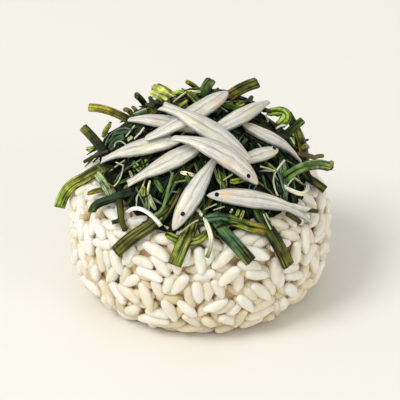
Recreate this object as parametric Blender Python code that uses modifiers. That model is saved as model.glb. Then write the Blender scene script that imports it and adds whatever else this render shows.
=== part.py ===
# A drum-shaped rice ball heaped with shredded leek greens and eleven small silver fish.
# Metres and degrees. +Z is up, the camera side is -Y, and the origin is the middle of the flat base.

import bisect
import math
import random

import bmesh
import bpy
from mathutils import Matrix, Vector

# The pressed rice: a turned drum with round shoulders, sunk a little so that its foot is flat.
RICE_HEIGHT = 0.0317
FLAT_RADIUS = 0.0193
SHOULDER_RADIUS = 0.0125
FOOT_SINK = 0.0006
SHOULDER_Z = RICE_HEIGHT - SHOULDER_RADIUS
FOOT_Z = SHOULDER_RADIUS - FOOT_SINK
SIDE_LENGTH = SHOULDER_Z - FOOT_Z
CUTTER_SIZE = 0.1
DRUM_STEPS = 28
ARC_STEPS = 5

# The grains that show on the drum, longest first.
GRAIN_SEED = 11
GRAIN_COUNT = 196
GRAIN_LENGTHS = (0.0078, 0.0048)
GRAIN_WIDTH = 0.0032
GRAIN_THICKNESS = 0.0028
GRAIN_SPACING = 0.0031
GRAIN_SIDES = 6
GRAIN_RINGS = 3
GRAIN_SPINE = (-0.33, 0.0, 0.33)
GRAIN_LOWEST = -64.0
GRAIN_HIGHEST = 34.0
GRAIN_TRIES = 700

# The heap of greens: a mound on the shoulder, its summit set back from the middle.
MOUND_RADIUS = 0.0290
MOUND_RISE = 0.0198
MOUND_SUMMIT_Y = 0.0050
MOUND_POWER = 2.0
MOUND_EXTENT = 1.6
SLOPE_STEP = 0.00005
HANG_GAP = 0.0023
HANG_RADIUS = SHOULDER_RADIUS + HANG_GAP
RIM_ANGLE = math.acos((MOUND_RADIUS - FLAT_RADIUS) / HANG_RADIUS)
RIM_Z = SHOULDER_Z + HANG_RADIUS * math.sin(RIM_ANGLE)
CORE_INSET = 0.0012
CORE_RIM_INSET = 0.0006
CORE_GAP = 0.0003
CORE_SIDES = 28
CORE_RINGS = 10

# Cut stalks and leaves that show: thickness, width, then points (bearing, reach, lift).
# Reach runs from the middle along the mound and down the rice, lift stands off that surface.
STALK = 0.0010
LEAF = 0.0008
STEM = 0.0009
STALKS = {
    "left_sweep": (STALK, 0.0027, ((-178, 0.0400, 0.0010), (-179, 0.0340, 0), (-164, 0.0235, 0))),
    "left_spike": (STALK, 0.0023, ((160, 0.0265, 0.0055), (178, 0.0243, 0))),
    "left_bud": (LEAF, 0.0014, ((156, 0.0310, 0.0015), (160, 0.0260, 0))),
    "left_twig": (STEM, 0.0011, ((173, 0.0285, 0.0005), (182, 0.0230, 0))),
    "back_left_arm": (STALK, 0.0020, ((154, 0.0245, 0.0080), (153, 0.0225, 0.0042), (152, 0.0206, 0))),
    "back_left_stub": (STALK, 0.0014, ((142, 0.0180, 0.0028), (128, 0.0220, 0))),
    "back_lime": (LEAF, 0.0038, ((134, 0.0160, 0.0022), (150, 0.0078, 0.0002))),
    "back_nub": (STEM, 0.0015, ((103, 0.0130, 0.0010), (88, 0.0180, 0))),
    "back_post": (STALK, 0.0026, ((78, 0.0125, 0.0012), (80, 0.0040, 0))),
    "back_right_arm": (STALK, 0.0028, ((45, 0.0170, 0.0046), (40, 0.0090, 0))),
    "right_lime": (LEAF, 0.0028, ((46, 0.0240, 0.0005), (28, 0.0225, 0.0026), (20, 0.0210, 0))),
    "right_lime_low": (LEAF, 0.0020, ((28, 0.0255, 0.0005), (8, 0.0240, 0))),
    "right_post": (STALK, 0.0029, ((30, 0.0235, 0.0030), (22, 0.0262, 0.0010), (4, 0.0270, 0))),
    "right_stub": (STALK, 0.0019, ((27, 0.0255, 0.0044), (22, 0.0240, 0.0002))),
    "right_twig": (STEM, 0.0014, ((18, 0.0320, 0.0020), (0, 0.0245, 0))),
    "right_hoop": (STALK, 0.0024, ((12, 0.0340, 0.0024), (-8, 0.0265, 0.0002), (-34, 0.0240, 0))),
    "right_drop": (STALK, 0.0028, ((-10, 0.0320, 0.0004), (-6, 0.0235, 0))),
    "right_hook": (STEM, 0.0012, ((-37, 0.0250, 0), (-28, 0.0280, 0.0003), (-15, 0.0280, 0))),
    "right_fold": (LEAF, 0.0023, ((-26, 0.0215, 0), (-41, 0.0275, 0.0003))),
    "left_grey": (LEAF, 0.0018, ((-170, 0.0245, 0), (-143, 0.0270, 0.0002))),
    "left_tongue": (LEAF, 0.0021, ((-148, 0.0320, 0.0003), (-142, 0.0275, 0.0002), (-130, 0.0235, 0))),
    "left_rod": (STEM, 0.0014, ((-126, 0.0310, 0.0002), (-143, 0.0250, 0))),
    "left_chip": (STEM, 0.0012, ((-134, 0.0315, 0.0002), (-128, 0.0275, 0))),
    "left_curl": (LEAF, 0.0014, ((-158, 0.0292, 0.0004), (-148, 0.0255, 0))),
    "front_left_stalk": (STALK, 0.0031, ((-126, 0.0370, 0.0003), (-118, 0.0310, 0), (-106, 0.0250, 0))),
    "front_stem": (STEM, 0.0010, ((-128, 0.0272, 0.0002), (-113, 0.0262, 0), (-99, 0.0285, 0))),
    "front_stalk": (STALK, 0.0033, ((-100, 0.0370, 0.0003), (-92, 0.0255, 0))),
    "front_pale": (STEM, 0.0013, ((-87, 0.0350, 0.0003), (-85, 0.0295, 0), (-92, 0.0250, 0))),
    "front_leaf": (LEAF, 0.0022, ((-106, 0.0298, 0.0002), (-94, 0.0312, 0), (-86, 0.0285, 0))),
    "front_arch": (LEAF, 0.0019, ((-103, 0.0285, 0.0003), (-90, 0.0258, 0), (-72, 0.0270, 0))),
    "front_bed": (STALK, 0.0027, ((-78, 0.0270, 0), (-58, 0.0310, 0.0003))),
    "front_right_leaf": (STALK, 0.0030, ((-69, 0.0370, 0.0003), (-75, 0.0320, 0), (-83, 0.0260, 0))),
    "front_right_stalk": (STALK, 0.0031, ((-52, 0.0408, 0.0003), (-56, 0.0335, 0), (-58, 0.0250, 0))),
    "right_dark": (STEM, 0.0013, ((-26, 0.0328, 0.0003), (-27, 0.0260, 0))),
    "right_chip": (STEM, 0.0013, ((-46, 0.0325, 0.0003), (-45, 0.0250, 0))),
    "back_left_stalk": (STALK, 0.0028, ((122, 0.0365, 0.0004), (116, 0.0240, 0))),
    "back_stalk": (STALK, 0.0030, ((88, 0.0350, 0.0004), (94, 0.0235, 0))),
    "back_right_stalk": (STALK, 0.0026, ((60, 0.0370, 0.0004), (66, 0.0245, 0))),
    "back_leaf": (LEAF, 0.0024, ((104, 0.0330, 0.0003), (102, 0.0240, 0))),
    "back_right_leaf": (LEAF, 0.0024, ((42, 0.0335, 0.0003), (50, 0.0240, 0))),
}
STALK_STEP = 0.0040

# Short shreds between them, laid at random by a seeded rule.
SHRED_SEED = 5
SHRED_COUNT = 38
SHRED_LENGTHS = (0.0080, 0.0130)
SHRED_WIDTHS = (0.0014, 0.0024)
SHRED_THICKNESS = 0.0008
SHRED_REACH = 0.0285
SHRED_LIFT = 0.0016
SHRED_SEGMENTS = 2
SHRED_DEPTH = 0.0003
SHRED_ROOT = 0.0016
SHRED_TRIES = 40
CHECK_STEPS = (-0.67, -0.33, 0, 0.33, 0.67)
BED_DEPTH = 0.0013
FLAT_ANGLE = math.radians(1.5)

# The fish, lowest first: tail (x, y), head (x, y), bow, tail lift, head lift, half depth, tail fork
# and how full the tail end is.
FISH = (
    ((-0.0168, 0.0012), (0.0011, -0.0094), -0.0015, 0.0012, 0.0, 0.0021, 0.0, 0.8),
    ((-0.0238, -0.0050), (-0.0042, -0.0115), -0.0015, 0.0004, 0.0, 0.0026, 0.14, 0.0),
    ((0.0056, -0.0170), (0.0187, -0.0072), -0.0009, 0.0, 0.0003, 0.0019, 0.0, 0.0),
    ((0.0251, -0.0033), (0.0099, -0.0053), 0.0012, 0.0, 0.0003, 0.0022, 0.0, 0.0),
    ((-0.0174, -0.0163), (0.0010, -0.0126), -0.0015, 0.0, 0.0, 0.0026, 0.14, 0.0),
    ((0.0045, -0.0144), (-0.0062, -0.0283), 0.0004, 0.0005, 0.0, 0.0026, 0.0, 0.0),
    ((0.0264, -0.0172), (0.0017, -0.0229), 0.0012, 0.0018, 0.0, 0.0024, 1.0, 0.0),
    ((-0.0122, -0.0097), (0.0060, 0.0012), -0.0033, 0.0, 0.0031, 0.0026, 0.0, 1.0),
    ((0.0154, 0.0066), (0.0015, -0.0108), 0.0025, 0.0030, 0.0, 0.0022, 0.0, 0.0),
    ((-0.0080, -0.0041), (0.0115, -0.0149), -0.0017, 0.0, 0.0, 0.0029, 0.34, 0.0),
    ((-0.0058, -0.0126), (0.0126, -0.0195), 0.0, 0.0, 0.0, 0.0028, 0.0, 0.0),
)
FISH_STATIONS = (0, 0.06, 0.20, 0.40, 0.60, 0.80, 0.93, 1)
FISH_DEPTHS = (0.34, 0.30, 0.42, 0.80, 1.00, 0.85, 0.50, 0.12)
FULL_TAIL_DEPTHS = (0.04, 0.14, 0.28, 0.10, 0.00, 0.00, 0.00, 0.00)
FISH_HALF_THICKNESS = 0.00095
FISH_SINK = 0.0005
FISH_GAP = 0.00045
FISH_STIFFNESS = 0.024
FISH_SAMPLES = 13
FISH_SIDES = 8
FISH_RINGS = 10
FORK_FLARE = 2.2
FORK_LENGTH = 0.24
FORK_NOTCH = 0.24
THIN_END = 0.25
POLE_GIRTH = 0.001
END_ROUND = 0.0003
FISH_CLEARANCE = 0.0006

COLOURS = {
    "rice": ((0.80, 0.76, 0.66, 1.0), 0.45),
    "greens": ((0.045, 0.080, 0.022, 1.0), 0.50),
    "fish": ((0.60, 0.58, 0.52, 1.0), 0.32),
}


def new_material(name):
    colour, roughness = COLOURS[name]
    material = bpy.data.materials.new(name)
    material.use_nodes = True
    shader = material.node_tree.nodes["Principled BSDF"]
    shader.inputs["Base Color"].default_value = colour
    shader.inputs["Roughness"].default_value = roughness
    shader.inputs["Metallic"].default_value = 0.0
    return material


def new_object(name, mesh, collection):
    obj = bpy.data.objects.new(name, mesh)
    collection.objects.link(obj)
    return obj


def object_from(form, name, collection):
    mesh = bpy.data.meshes.new(name)
    form.to_mesh(mesh)
    form.free()
    return new_object(name, mesh, collection)


def apply_modifiers(obj):
    bpy.context.view_layer.update()
    evaluated = obj.evaluated_get(bpy.context.evaluated_depsgraph_get())
    plain = bpy.data.meshes.new_from_object(evaluated)
    obj.modifiers.clear()
    old = obj.data
    obj.data = plain
    bpy.data.meshes.remove(old)


def arc(middle, radius, start, end):
    """Points (r, z) of a quarter round in the turned profile."""
    points = []
    for step in range(ARC_STEPS + 1):
        angle = math.radians(start + (end - start) * step / ARC_STEPS)
        points.append((middle[0] + radius * math.cos(angle), middle[1] + radius * math.sin(angle)))
    return points


def rice_drum(collection):
    """The turned core, its profile listed from the top down its outer side."""
    profile = [(0.0, RICE_HEIGHT)]
    profile += arc((FLAT_RADIUS, SHOULDER_Z), SHOULDER_RADIUS, 90, 0)
    profile += arc((FLAT_RADIUS, FOOT_Z), SHOULDER_RADIUS, 0, -90)
    profile.append((0.0, -FOOT_SINK))
    mesh = bpy.data.meshes.new("rice")
    edges = [(i, i + 1) for i in range(len(profile) - 1)]
    mesh.from_pydata([(r, 0, z) for r, z in profile], edges, [])
    drum = new_object("rice", mesh, collection)
    screw = drum.modifiers.new("turn", "SCREW")
    screw.steps = DRUM_STEPS
    screw.render_steps = DRUM_STEPS
    screw.use_merge_vertices = True
    screw.merge_threshold = 0.00001
    apply_modifiers(drum)
    return drum


def drum_point(bearing, run):
    """A point of the drum's side and its normal. Run is measured from the foot's lowest angle up the side."""
    foot_arc = SHOULDER_RADIUS * math.radians(-GRAIN_LOWEST)
    if run < foot_arc:
        angle, middle_z = run / SHOULDER_RADIUS + math.radians(GRAIN_LOWEST), FOOT_Z
    elif run < foot_arc + SIDE_LENGTH:
        angle, middle_z = 0.0, FOOT_Z + run - foot_arc
    else:
        angle, middle_z = (run - foot_arc - SIDE_LENGTH) / SHOULDER_RADIUS, SHOULDER_Z
    outward = Vector((math.cos(bearing), math.sin(bearing), 0))
    normal = outward * math.cos(angle) + Vector((0, 0, math.sin(angle)))
    middle = outward * FLAT_RADIUS + Vector((0, 0, middle_z))
    return middle + normal * SHOULDER_RADIUS, normal


def grain_layout():
    """Places, axes, normals and lengths of the grains: the longest first, none closer than the spacing."""
    draw = random.Random(GRAIN_SEED)
    top = SHOULDER_RADIUS * math.radians(GRAIN_HIGHEST - GRAIN_LOWEST) + SIDE_LENGTH
    spines, grains = [], []
    for number in range(GRAIN_COUNT):
        share = number / (GRAIN_COUNT - 1)
        length = GRAIN_LENGTHS[0] + (GRAIN_LENGTHS[1] - GRAIN_LENGTHS[0]) * share
        for _ in range(GRAIN_TRIES):
            place, normal = drum_point(draw.uniform(-math.pi, math.pi), draw.uniform(0, top))
            turn = Matrix.Rotation(draw.uniform(0, math.pi), 3, normal)
            axis = turn @ normal.cross(Vector((0, 0, 1))).normalized()
            spine = [place + axis * length * part for part in GRAIN_SPINE]
            if max(point.z for point in spine) > drum_point(0, top)[0].z:
                continue
            if all((a - b).length > GRAIN_SPACING for other in spines for a in spine for b in other):
                spines.append(spine)
                grains.append((place, axis, normal, length))
                break
    return grains


def add_grain(place, axis, normal, length, collection):
    form = bmesh.new()
    bmesh.ops.create_uvsphere(form, u_segments=GRAIN_SIDES, v_segments=GRAIN_RINGS, radius=0.5)
    side = normal.cross(axis)
    turn = Matrix((side, normal, axis)).transposed().to_4x4()
    size = Matrix.Diagonal((GRAIN_WIDTH, GRAIN_THICKNESS, length, 1))
    bmesh.ops.transform(form, matrix=Matrix.Translation(place) @ turn @ size, verts=form.verts)
    return object_from(form, "grain", collection)


def island_volume(faces):
    """Six times the volume inside, below zero for the shell of a hollow."""
    volume = 0.0
    for face in faces:
        first = face.verts[0].co
        for a, b in zip(face.verts[1:], face.verts[2:]):
            volume += first.dot(a.co.cross(b.co))
    return volume


def keep_main_body(obj):
    """Drops loose scraps and the inner shells of sealed hollows, which fills them."""
    form = bmesh.new()
    form.from_mesh(obj.data)
    left = set(form.faces)
    bodies = []
    while left:
        body, waiting = set(), [left.pop()]
        while waiting:
            face = waiting.pop()
            body.add(face)
            near = {other for edge in face.edges for other in edge.link_faces} & left
            left -= near
            waiting.extend(near)
        bodies.append(body)
    bodies.sort(key=island_volume)
    scraps = [face for body in bodies[:-1] for face in body]
    bmesh.ops.delete(form, geom=scraps, context="FACES")
    bmesh.ops.dissolve_limit(form, angle_limit=FLAT_ANGLE, verts=form.verts, edges=form.edges)
    bmesh.ops.triangulate(form, faces=form.faces)
    form.to_mesh(obj.data)
    form.free()


def fuse(obj, pieces):
    """Joins a collection of overlapping pieces to the object and removes them."""
    union = obj.modifiers.new("fuse", "BOOLEAN")
    union.operation = "UNION"
    union.operand_type = "COLLECTION"
    union.collection = pieces
    union.solver = "MANIFOLD"
    apply_modifiers(obj)
    for piece in list(pieces.objects):
        bpy.data.objects.remove(piece)
    bpy.data.collections.remove(pieces)
    keep_main_body(obj)


def flatten_foot(obj, cutters):
    """Cuts everything below the floor, so that the rice stands flat."""
    form = bmesh.new()
    bmesh.ops.create_cube(form, size=CUTTER_SIZE)
    bmesh.ops.translate(form, vec=(0, 0, -CUTTER_SIZE / 2), verts=form.verts)
    cutter = object_from(form, "foot_cutter", cutters)
    cut = obj.modifiers.new("foot", "BOOLEAN")
    cut.operation = "DIFFERENCE"
    cut.object = cutter
    cut.solver = "MANIFOLD"
    apply_modifiers(obj)
    bpy.data.objects.remove(cutter)


def make_rice(collection, cutters):
    drum = rice_drum(collection)
    grains = bpy.data.collections.new("grains")
    bpy.context.scene.collection.children.link(grains)
    for place, axis, normal, length in grain_layout():
        add_grain(place, axis, normal, length, grains)
    fuse(drum, grains)
    flatten_foot(drum, cutters)
    return drum


def mound_z(x, y):
    """Height of the mound's surface: level at its rim, highest at the summit behind the middle."""
    dx, dy = x, y - MOUND_SUMMIT_Y
    square = dx * dx + dy * dy
    if square == 0:
        return RIM_Z + MOUND_RISE
    along = MOUND_SUMMIT_Y * dy
    stretch = math.sqrt(along * along + square * (MOUND_RADIUS**2 - MOUND_SUMMIT_Y**2)) - along
    share = min(square / stretch, MOUND_EXTENT)
    return RIM_Z + MOUND_RISE * (1 - share**MOUND_POWER)


def mound_normal(x, y):
    slope_x = (mound_z(x + SLOPE_STEP, y) - mound_z(x - SLOPE_STEP, y)) / (2 * SLOPE_STEP)
    slope_y = (mound_z(x, y + SLOPE_STEP) - mound_z(x, y - SLOPE_STEP)) / (2 * SLOPE_STEP)
    return Vector((-slope_x, -slope_y, 1)).normalized()


def hang(x, y, lift):
    """A point on the mound or, past its rim, down the side of the rice, with the normal there."""
    reach = math.hypot(x, y)
    if reach <= MOUND_RADIUS:
        normal = mound_normal(x, y)
        return Vector((x, y, mound_z(x, y))) + normal * lift, normal
    lift = max(lift, 0)
    outward = Vector((x / reach, y / reach, 0))
    angle = RIM_ANGLE - (reach - MOUND_RADIUS) / HANG_RADIUS
    normal = outward * math.cos(angle) + Vector((0, 0, math.sin(angle)))
    place = outward * FLAT_RADIUS + Vector((0, 0, SHOULDER_Z)) + normal * (HANG_RADIUS + lift)
    return place, normal


def along_curve(points, share):
    """A point of the quadratic curve through two or three points."""
    if len(points) == 2:
        return points[0].lerp(points[1], share)
    first, middle, last = points
    bend = middle * 2 - (first + last) * 0.5
    return first * (1 - share) ** 2 + bend * 2 * share * (1 - share) + last * share**2


def add_strip(path, width, thickness, collection):
    """A thin strip along a path of (place, normal), both of its faces split alike."""
    form = bmesh.new()
    bmesh.ops.create_grid(form, x_segments=len(path) - 1, y_segments=1, size=0.5)
    bmesh.ops.triangulate(form, faces=form.faces)
    for vert in form.verts:
        index = round((vert.co.x + 0.5) * (len(path) - 1))
        place, normal = path[index]
        ahead = path[min(index + 1, len(path) - 1)][0] - path[max(index - 1, 0)][0]
        across = normal.cross(ahead).normalized()
        vert.co = place + across * width * vert.co.y
    strip = object_from(form, "strip", collection)
    wall = strip.modifiers.new("wall", "SOLIDIFY")
    wall.thickness = thickness
    wall.offset = 0
    apply_modifiers(strip)
    return strip


def greens_core(collection):
    """A lens between the rice and the mound, from a sphere whose two halves are moved onto them."""
    form = bmesh.new()
    bmesh.ops.create_uvsphere(form, u_segments=CORE_SIDES, v_segments=CORE_RINGS, radius=1)
    radius = MOUND_RADIUS - CORE_RIM_INSET
    for vert in form.verts:
        x, y = vert.co.x * radius, vert.co.y * radius
        beyond = max(math.hypot(x, y) - FLAT_RADIUS, 0)
        low = SHOULDER_Z + math.sqrt((SHOULDER_RADIUS + CORE_GAP) ** 2 - beyond**2)
        high = mound_z(x, y) - CORE_INSET
        share = 0.5 if abs(vert.co.z) < 0.01 else float(vert.co.z > 0)
        vert.co = Vector((x, y, low + (high - low) * share))
    return object_from(form, "greens", collection)


def clear_of_fish(place, width, thickness, fish):
    """True where a point of a strip keeps its gap to every fish."""
    for point, normal, half_depth, half_thickness in fish:
        away = place - point
        rise = away.dot(normal)
        beside = (away - normal * rise).length
        reach, height = half_depth + width / 2, half_thickness + thickness / 2
        if beside < reach + FISH_CLEARANCE and abs(rise) < height + FISH_CLEARANCE:
            return False
    return True


def strip_path(guide, count, width, thickness, fish):
    """Points of a strip on the heap, pressed into it where a fish lies on top, and whether one was."""
    path, pressed = [], False
    for step in range(count + 1):
        shares = [min(max((step + part) / count, 0), 1) for part in CHECK_STEPS]
        spots = [hang(*along_curve(guide, share))[0] for share in shares]
        place, normal = hang(*along_curve(guide, step / count))
        if not all(clear_of_fish(spot, width, thickness, fish) for spot in spots):
            point = along_curve(guide, step / count)
            place, normal = hang(point.x, point.y, -BED_DEPTH)
            pressed = True
        path.append((place, normal))
    return path, pressed


def shred_guide(draw):
    """Three points of a short run over the core: its inner end sunk, its outer end raised by chance."""
    bearing, reach = draw.uniform(-math.pi, math.pi), SHRED_REACH * math.sqrt(draw.random())
    heading, half = draw.uniform(-math.pi, math.pi), draw.uniform(*SHRED_LENGTHS) / 2
    middle = Vector((reach * math.cos(bearing), reach * math.sin(bearing), -SHRED_DEPTH))
    along = Vector((math.cos(heading) * half, math.sin(heading) * half, 0))
    if along.dot(middle) < 0:
        along.negate()
    sunk, raised = Vector((0, 0, -SHRED_ROOT)), Vector((0, 0, draw.uniform(0, SHRED_LIFT)))
    return [middle - along + sunk, middle, middle + along + raised]


def make_greens(collection, fish):
    core = greens_core(collection)
    strips = bpy.data.collections.new("strips")
    bpy.context.scene.collection.children.link(strips)
    for thickness, width, points in STALKS.values():
        guide = []
        for bearing, reach, lift in points:
            angle = math.radians(bearing)
            guide.append(Vector((reach * math.cos(angle), reach * math.sin(angle), lift)))
        # The root end sinks into the core, so that the strip grows out of the heap.
        guide[-1].z -= BED_DEPTH
        length = sum((b - a).length for a, b in zip(guide, guide[1:]))
        count = max(2, round(length / STALK_STEP))
        path, _ = strip_path(guide, count, width, thickness, fish)
        add_strip(path, width, thickness, strips)
    draw = random.Random(SHRED_SEED)
    for _ in range(SHRED_COUNT):
        for _ in range(SHRED_TRIES):
            guide, width = shred_guide(draw), draw.uniform(*SHRED_WIDTHS)
            path, pressed = strip_path(guide, SHRED_SEGMENTS, width, SHRED_THICKNESS, fish)
            if not pressed:
                add_strip(path, width, SHRED_THICKNESS, strips)
                break
    fuse(core, strips)
    return core


def profile_value(stations, values, share):
    index = min(max(bisect.bisect_right(stations, share) - 1, 0), len(stations) - 2)
    part = (share - stations[index]) / (stations[index + 1] - stations[index])
    return values[index] + (values[index + 1] - values[index]) * part


def fish_depth(row, share):
    """Half the depth of a fish from its back to its belly, wider where the tail is forked."""
    half_depth, fork, fullness = row[5:]
    flare = FORK_FLARE * fork * max(0.0, 1 - share / FORK_LENGTH)
    depth = profile_value(FISH_STATIONS, FISH_DEPTHS, share)
    depth += fullness * profile_value(FISH_STATIONS, FULL_TAIL_DEPTHS, share)
    return half_depth * depth * (1 + flare)


def fish_half_thickness(share):
    depth = profile_value(FISH_STATIONS, FISH_DEPTHS, share)
    return FISH_HALF_THICKNESS * min(1, depth + THIN_END)


def fish_path(row, pile):
    """Where one fish lies: its middle line, pressed onto the mound and onto the fish below it."""
    tail, head, bow, tail_lift, head_lift = row[:5]
    tail, head = Vector(tail), Vector(head)
    sideways = Vector((tail.y - head.y, head.x - tail.x)).normalized()
    shares = [step / (FISH_SAMPLES - 1) for step in range(FISH_SAMPLES)]
    places, needs, runs = [], [], []
    for share in shares:
        plan = tail.lerp(head, share) + sideways * bow * 4 * share * (1 - share)
        place, normal = Vector((plan.x, plan.y, mound_z(*plan))), mound_normal(*plan)
        half = fish_half_thickness(share)
        need = half - FISH_SINK
        for point, _, depth_below, half_below in pile:
            away = point - place
            rise = away.dot(normal)
            reach = fish_depth(row, share) + depth_below
            beside = (away - normal * rise).length / reach
            if beside < 1:
                need = max(need, rise + (half + half_below) * math.sqrt(1 - beside**2) + FISH_GAP)
        runs.append(runs[-1] + (place - places[-1][0]).length if places else 0.0)
        places.append((place, normal))
        needs.append(need)
    path = []
    for share, run, (place, normal) in zip(shares, runs, places):
        height = max(need - (run - other) ** 2 / (2 * FISH_STIFFNESS) for need, other in zip(needs, runs))
        height += tail_lift * (1 - share) ** 2 + head_lift * share**2
        path.append((place + normal * height, normal))
    return path


def path_at(path, share):
    position = share * (len(path) - 1)
    index = min(int(position), len(path) - 2)
    part = position - index
    place = path[index][0].lerp(path[index + 1][0], part)
    normal = path[index][1].lerp(path[index + 1][1], part).normalized()
    return place, normal, (path[index + 1][0] - path[index][0]).normalized()


def lay_fish():
    """All paths, and the pile's samples (place, normal, half depth, half thickness)."""
    paths, pile = [], []
    for row in FISH:
        path = fish_path(row, pile)
        paths.append(path)
        for step in range(2 * FISH_SAMPLES - 1):
            share = step / (2 * FISH_SAMPLES - 2)
            place, normal, _ = path_at(path, share)
            pile.append((place, normal, fish_depth(row, share), fish_half_thickness(share)))
    return paths, pile


def make_fish(name, row, path, collection):
    """One fish on its side: a sphere drawn out along the path, with a blunt or forked tail."""
    form = bmesh.new()
    bmesh.ops.create_uvsphere(form, u_segments=FISH_SIDES, v_segments=FISH_RINGS, radius=1)
    for vert in form.verts:
        ring = FISH_RINGS * math.acos(max(-1.0, min(1.0, -vert.co.z))) / math.pi
        share = max(0.0, min(1.0, (ring - 1) / (FISH_RINGS - 2)))
        girth = math.hypot(vert.co.x, vert.co.y)
        if girth < POLE_GIRTH:
            place, _, ahead = path_at(path, FORK_NOTCH * row[6] if share < 0.5 else share)
            vert.co = place + ahead * (END_ROUND if share > 0.5 else 0.0)
            continue
        notch = FORK_NOTCH * row[6] * max(0.0, 1 - share / FORK_LENGTH) * (1 - abs(vert.co.x) / girth)
        place, normal, ahead = path_at(path, share + notch)
        across = normal.cross(ahead).normalized() * fish_depth(row, share)
        outward = normal * fish_half_thickness(share)
        vert.co = place + across * (vert.co.x / girth) + outward * (vert.co.y / girth)
    return object_from(form, name, collection)


def main():
    for obj in list(bpy.data.objects):
        bpy.data.objects.remove(obj)
    onigiri = bpy.data.collections.new("onigiri")
    cutters = bpy.data.collections.new("cutters")
    bpy.context.scene.collection.children.link(onigiri)
    bpy.context.scene.collection.children.link(cutters)
    materials = {name: new_material(name) for name in COLOURS}
    paths, pile = lay_fish()
    make_rice(onigiri, cutters).data.materials.append(materials["rice"])
    make_greens(onigiri, pile).data.materials.append(materials["greens"])
    for number, (row, path) in enumerate(zip(FISH, paths), 1):
        fish = make_fish(f"fish_{number:02d}", row, path, onigiri)
        fish.data.materials.append(materials["fish"])
        fish.data.shade_smooth()


main()
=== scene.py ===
import bisect
import math
import random

import bpy
import numpy as np
from mathutils import Matrix, Vector, noise


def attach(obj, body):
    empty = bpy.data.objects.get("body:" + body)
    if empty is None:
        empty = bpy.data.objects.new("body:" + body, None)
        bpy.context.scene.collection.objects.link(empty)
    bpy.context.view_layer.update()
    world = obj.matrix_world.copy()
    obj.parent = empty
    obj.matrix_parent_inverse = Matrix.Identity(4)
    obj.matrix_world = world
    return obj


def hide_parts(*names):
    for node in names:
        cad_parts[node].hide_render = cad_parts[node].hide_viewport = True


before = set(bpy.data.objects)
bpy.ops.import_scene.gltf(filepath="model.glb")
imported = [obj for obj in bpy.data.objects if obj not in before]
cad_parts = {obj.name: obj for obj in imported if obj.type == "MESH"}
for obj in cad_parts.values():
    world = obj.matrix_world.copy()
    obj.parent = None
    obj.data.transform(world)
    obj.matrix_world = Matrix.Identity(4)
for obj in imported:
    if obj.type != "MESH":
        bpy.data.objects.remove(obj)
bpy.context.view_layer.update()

# All sizes are metres, +Z is up and the camera side is -Y.


# Small helpers for modelling, joining and shading

def deselectAll():
    bpy.ops.object.select_all(action="DESELECT")


def finishPlace(obj):
    # the place goes into the mesh, so the object itself sits at the origin
    deselectAll()
    obj.select_set(True)
    bpy.context.view_layer.objects.active = obj
    bpy.ops.object.transform_apply(location=True, rotation=True, scale=True)


def applyModifier(obj, kind, **settings):
    deselectAll()
    obj.select_set(True)
    bpy.context.view_layer.objects.active = obj
    modifier = obj.modifiers.new(kind.lower(), kind)
    for name, value in settings.items():
        setattr(modifier, name, value)
    bpy.ops.object.modifier_apply(modifier=modifier.name)


def selectVerts(obj, test):
    # in edit mode: only the vertices whose place passes the test
    bpy.ops.mesh.select_all(action="DESELECT")
    bpy.ops.object.mode_set(mode="OBJECT")
    for vert in obj.data.vertices:
        vert.select = bool(test(vert.co))
    bpy.ops.object.mode_set(mode="EDIT")


def selectFaces(obj, test):
    # in edit mode: only the faces whose middle and normal pass the test
    bpy.ops.mesh.select_mode(type="FACE")
    bpy.ops.mesh.select_all(action="DESELECT")
    bpy.ops.object.mode_set(mode="OBJECT")
    for face in obj.data.polygons:
        face.select = bool(test(face.center, face.normal))
    bpy.ops.object.mode_set(mode="EDIT")


def drawTube(name, sides, stations):
    # a filled ring is drawn out along X through stations of (x, half width, half thickness)
    deselectAll()
    x, wide, thick = stations[0]
    bpy.ops.mesh.primitive_circle_add(
        vertices=sides, radius=1, fill_type="NGON", location=(x, 0, 0), rotation=(0, math.pi / 2, 0)
    )
    obj = bpy.context.object
    obj.name = name
    finishPlace(obj)
    bpy.ops.object.mode_set(mode="EDIT")
    bpy.ops.mesh.select_all(action="SELECT")
    bpy.ops.transform.resize(value=(1, wide, thick), center_override=(x, 0, 0))
    for nextX, nextWide, nextThick in stations[1:]:
        bpy.ops.mesh.extrude_region_move(TRANSFORM_OT_translate={"value": (nextX - x, 0, 0)})
        bpy.ops.transform.resize(value=(1, nextWide / wide, nextThick / thick), center_override=(nextX, 0, 0))
        x, wide, thick = nextX, nextWide, nextThick
    bpy.ops.mesh.select_all(action="SELECT")
    bpy.ops.mesh.normals_make_consistent(inside=False)
    bpy.ops.object.mode_set(mode="OBJECT")
    return obj


def takeShape(obj):
    # (vertices, faces) of a modelled pattern piece, which is then cleared away
    verts = np.array([vert.co[:] for vert in obj.data.vertices])
    faces = [tuple(face.vertices) for face in obj.data.polygons]
    bpy.data.objects.remove(obj)
    return verts, faces


def joinCopies(name, copies):
    # one mesh of many copies of (vertices, faces, uv by vertex, values by attribute name)
    verts, faces, uvs, values, start = [], [], [], {}, 0
    for points, sides, uv, marks in copies:
        verts.append(points)
        uvs.append(uv)
        faces += [tuple(start + corner for corner in side) for side in sides]
        for key, value in marks.items():
            spread = np.broadcast_to(np.asarray(value, float), (len(points), np.asarray(value).shape[-1]))
            values.setdefault(key, []).append(spread)
        start += len(points)
    mesh = bpy.data.meshes.new(name)
    mesh.from_pydata(np.concatenate(verts).tolist(), [], faces)
    corner = np.empty(len(mesh.loops), int)
    mesh.loops.foreach_get("vertex_index", corner)
    mesh.uv_layers.new(name="UVMap").data.foreach_set("uv", np.concatenate(uvs)[corner].ravel())
    for key, rows in values.items():
        layer = mesh.attributes.new(key, "FLOAT_COLOR", "POINT")
        layer.data.foreach_set("color", np.concatenate(rows).ravel())
    mesh.shade_smooth()
    obj = bpy.data.objects.new(name, mesh)
    bpy.context.scene.collection.objects.link(obj)
    return obj


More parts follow.
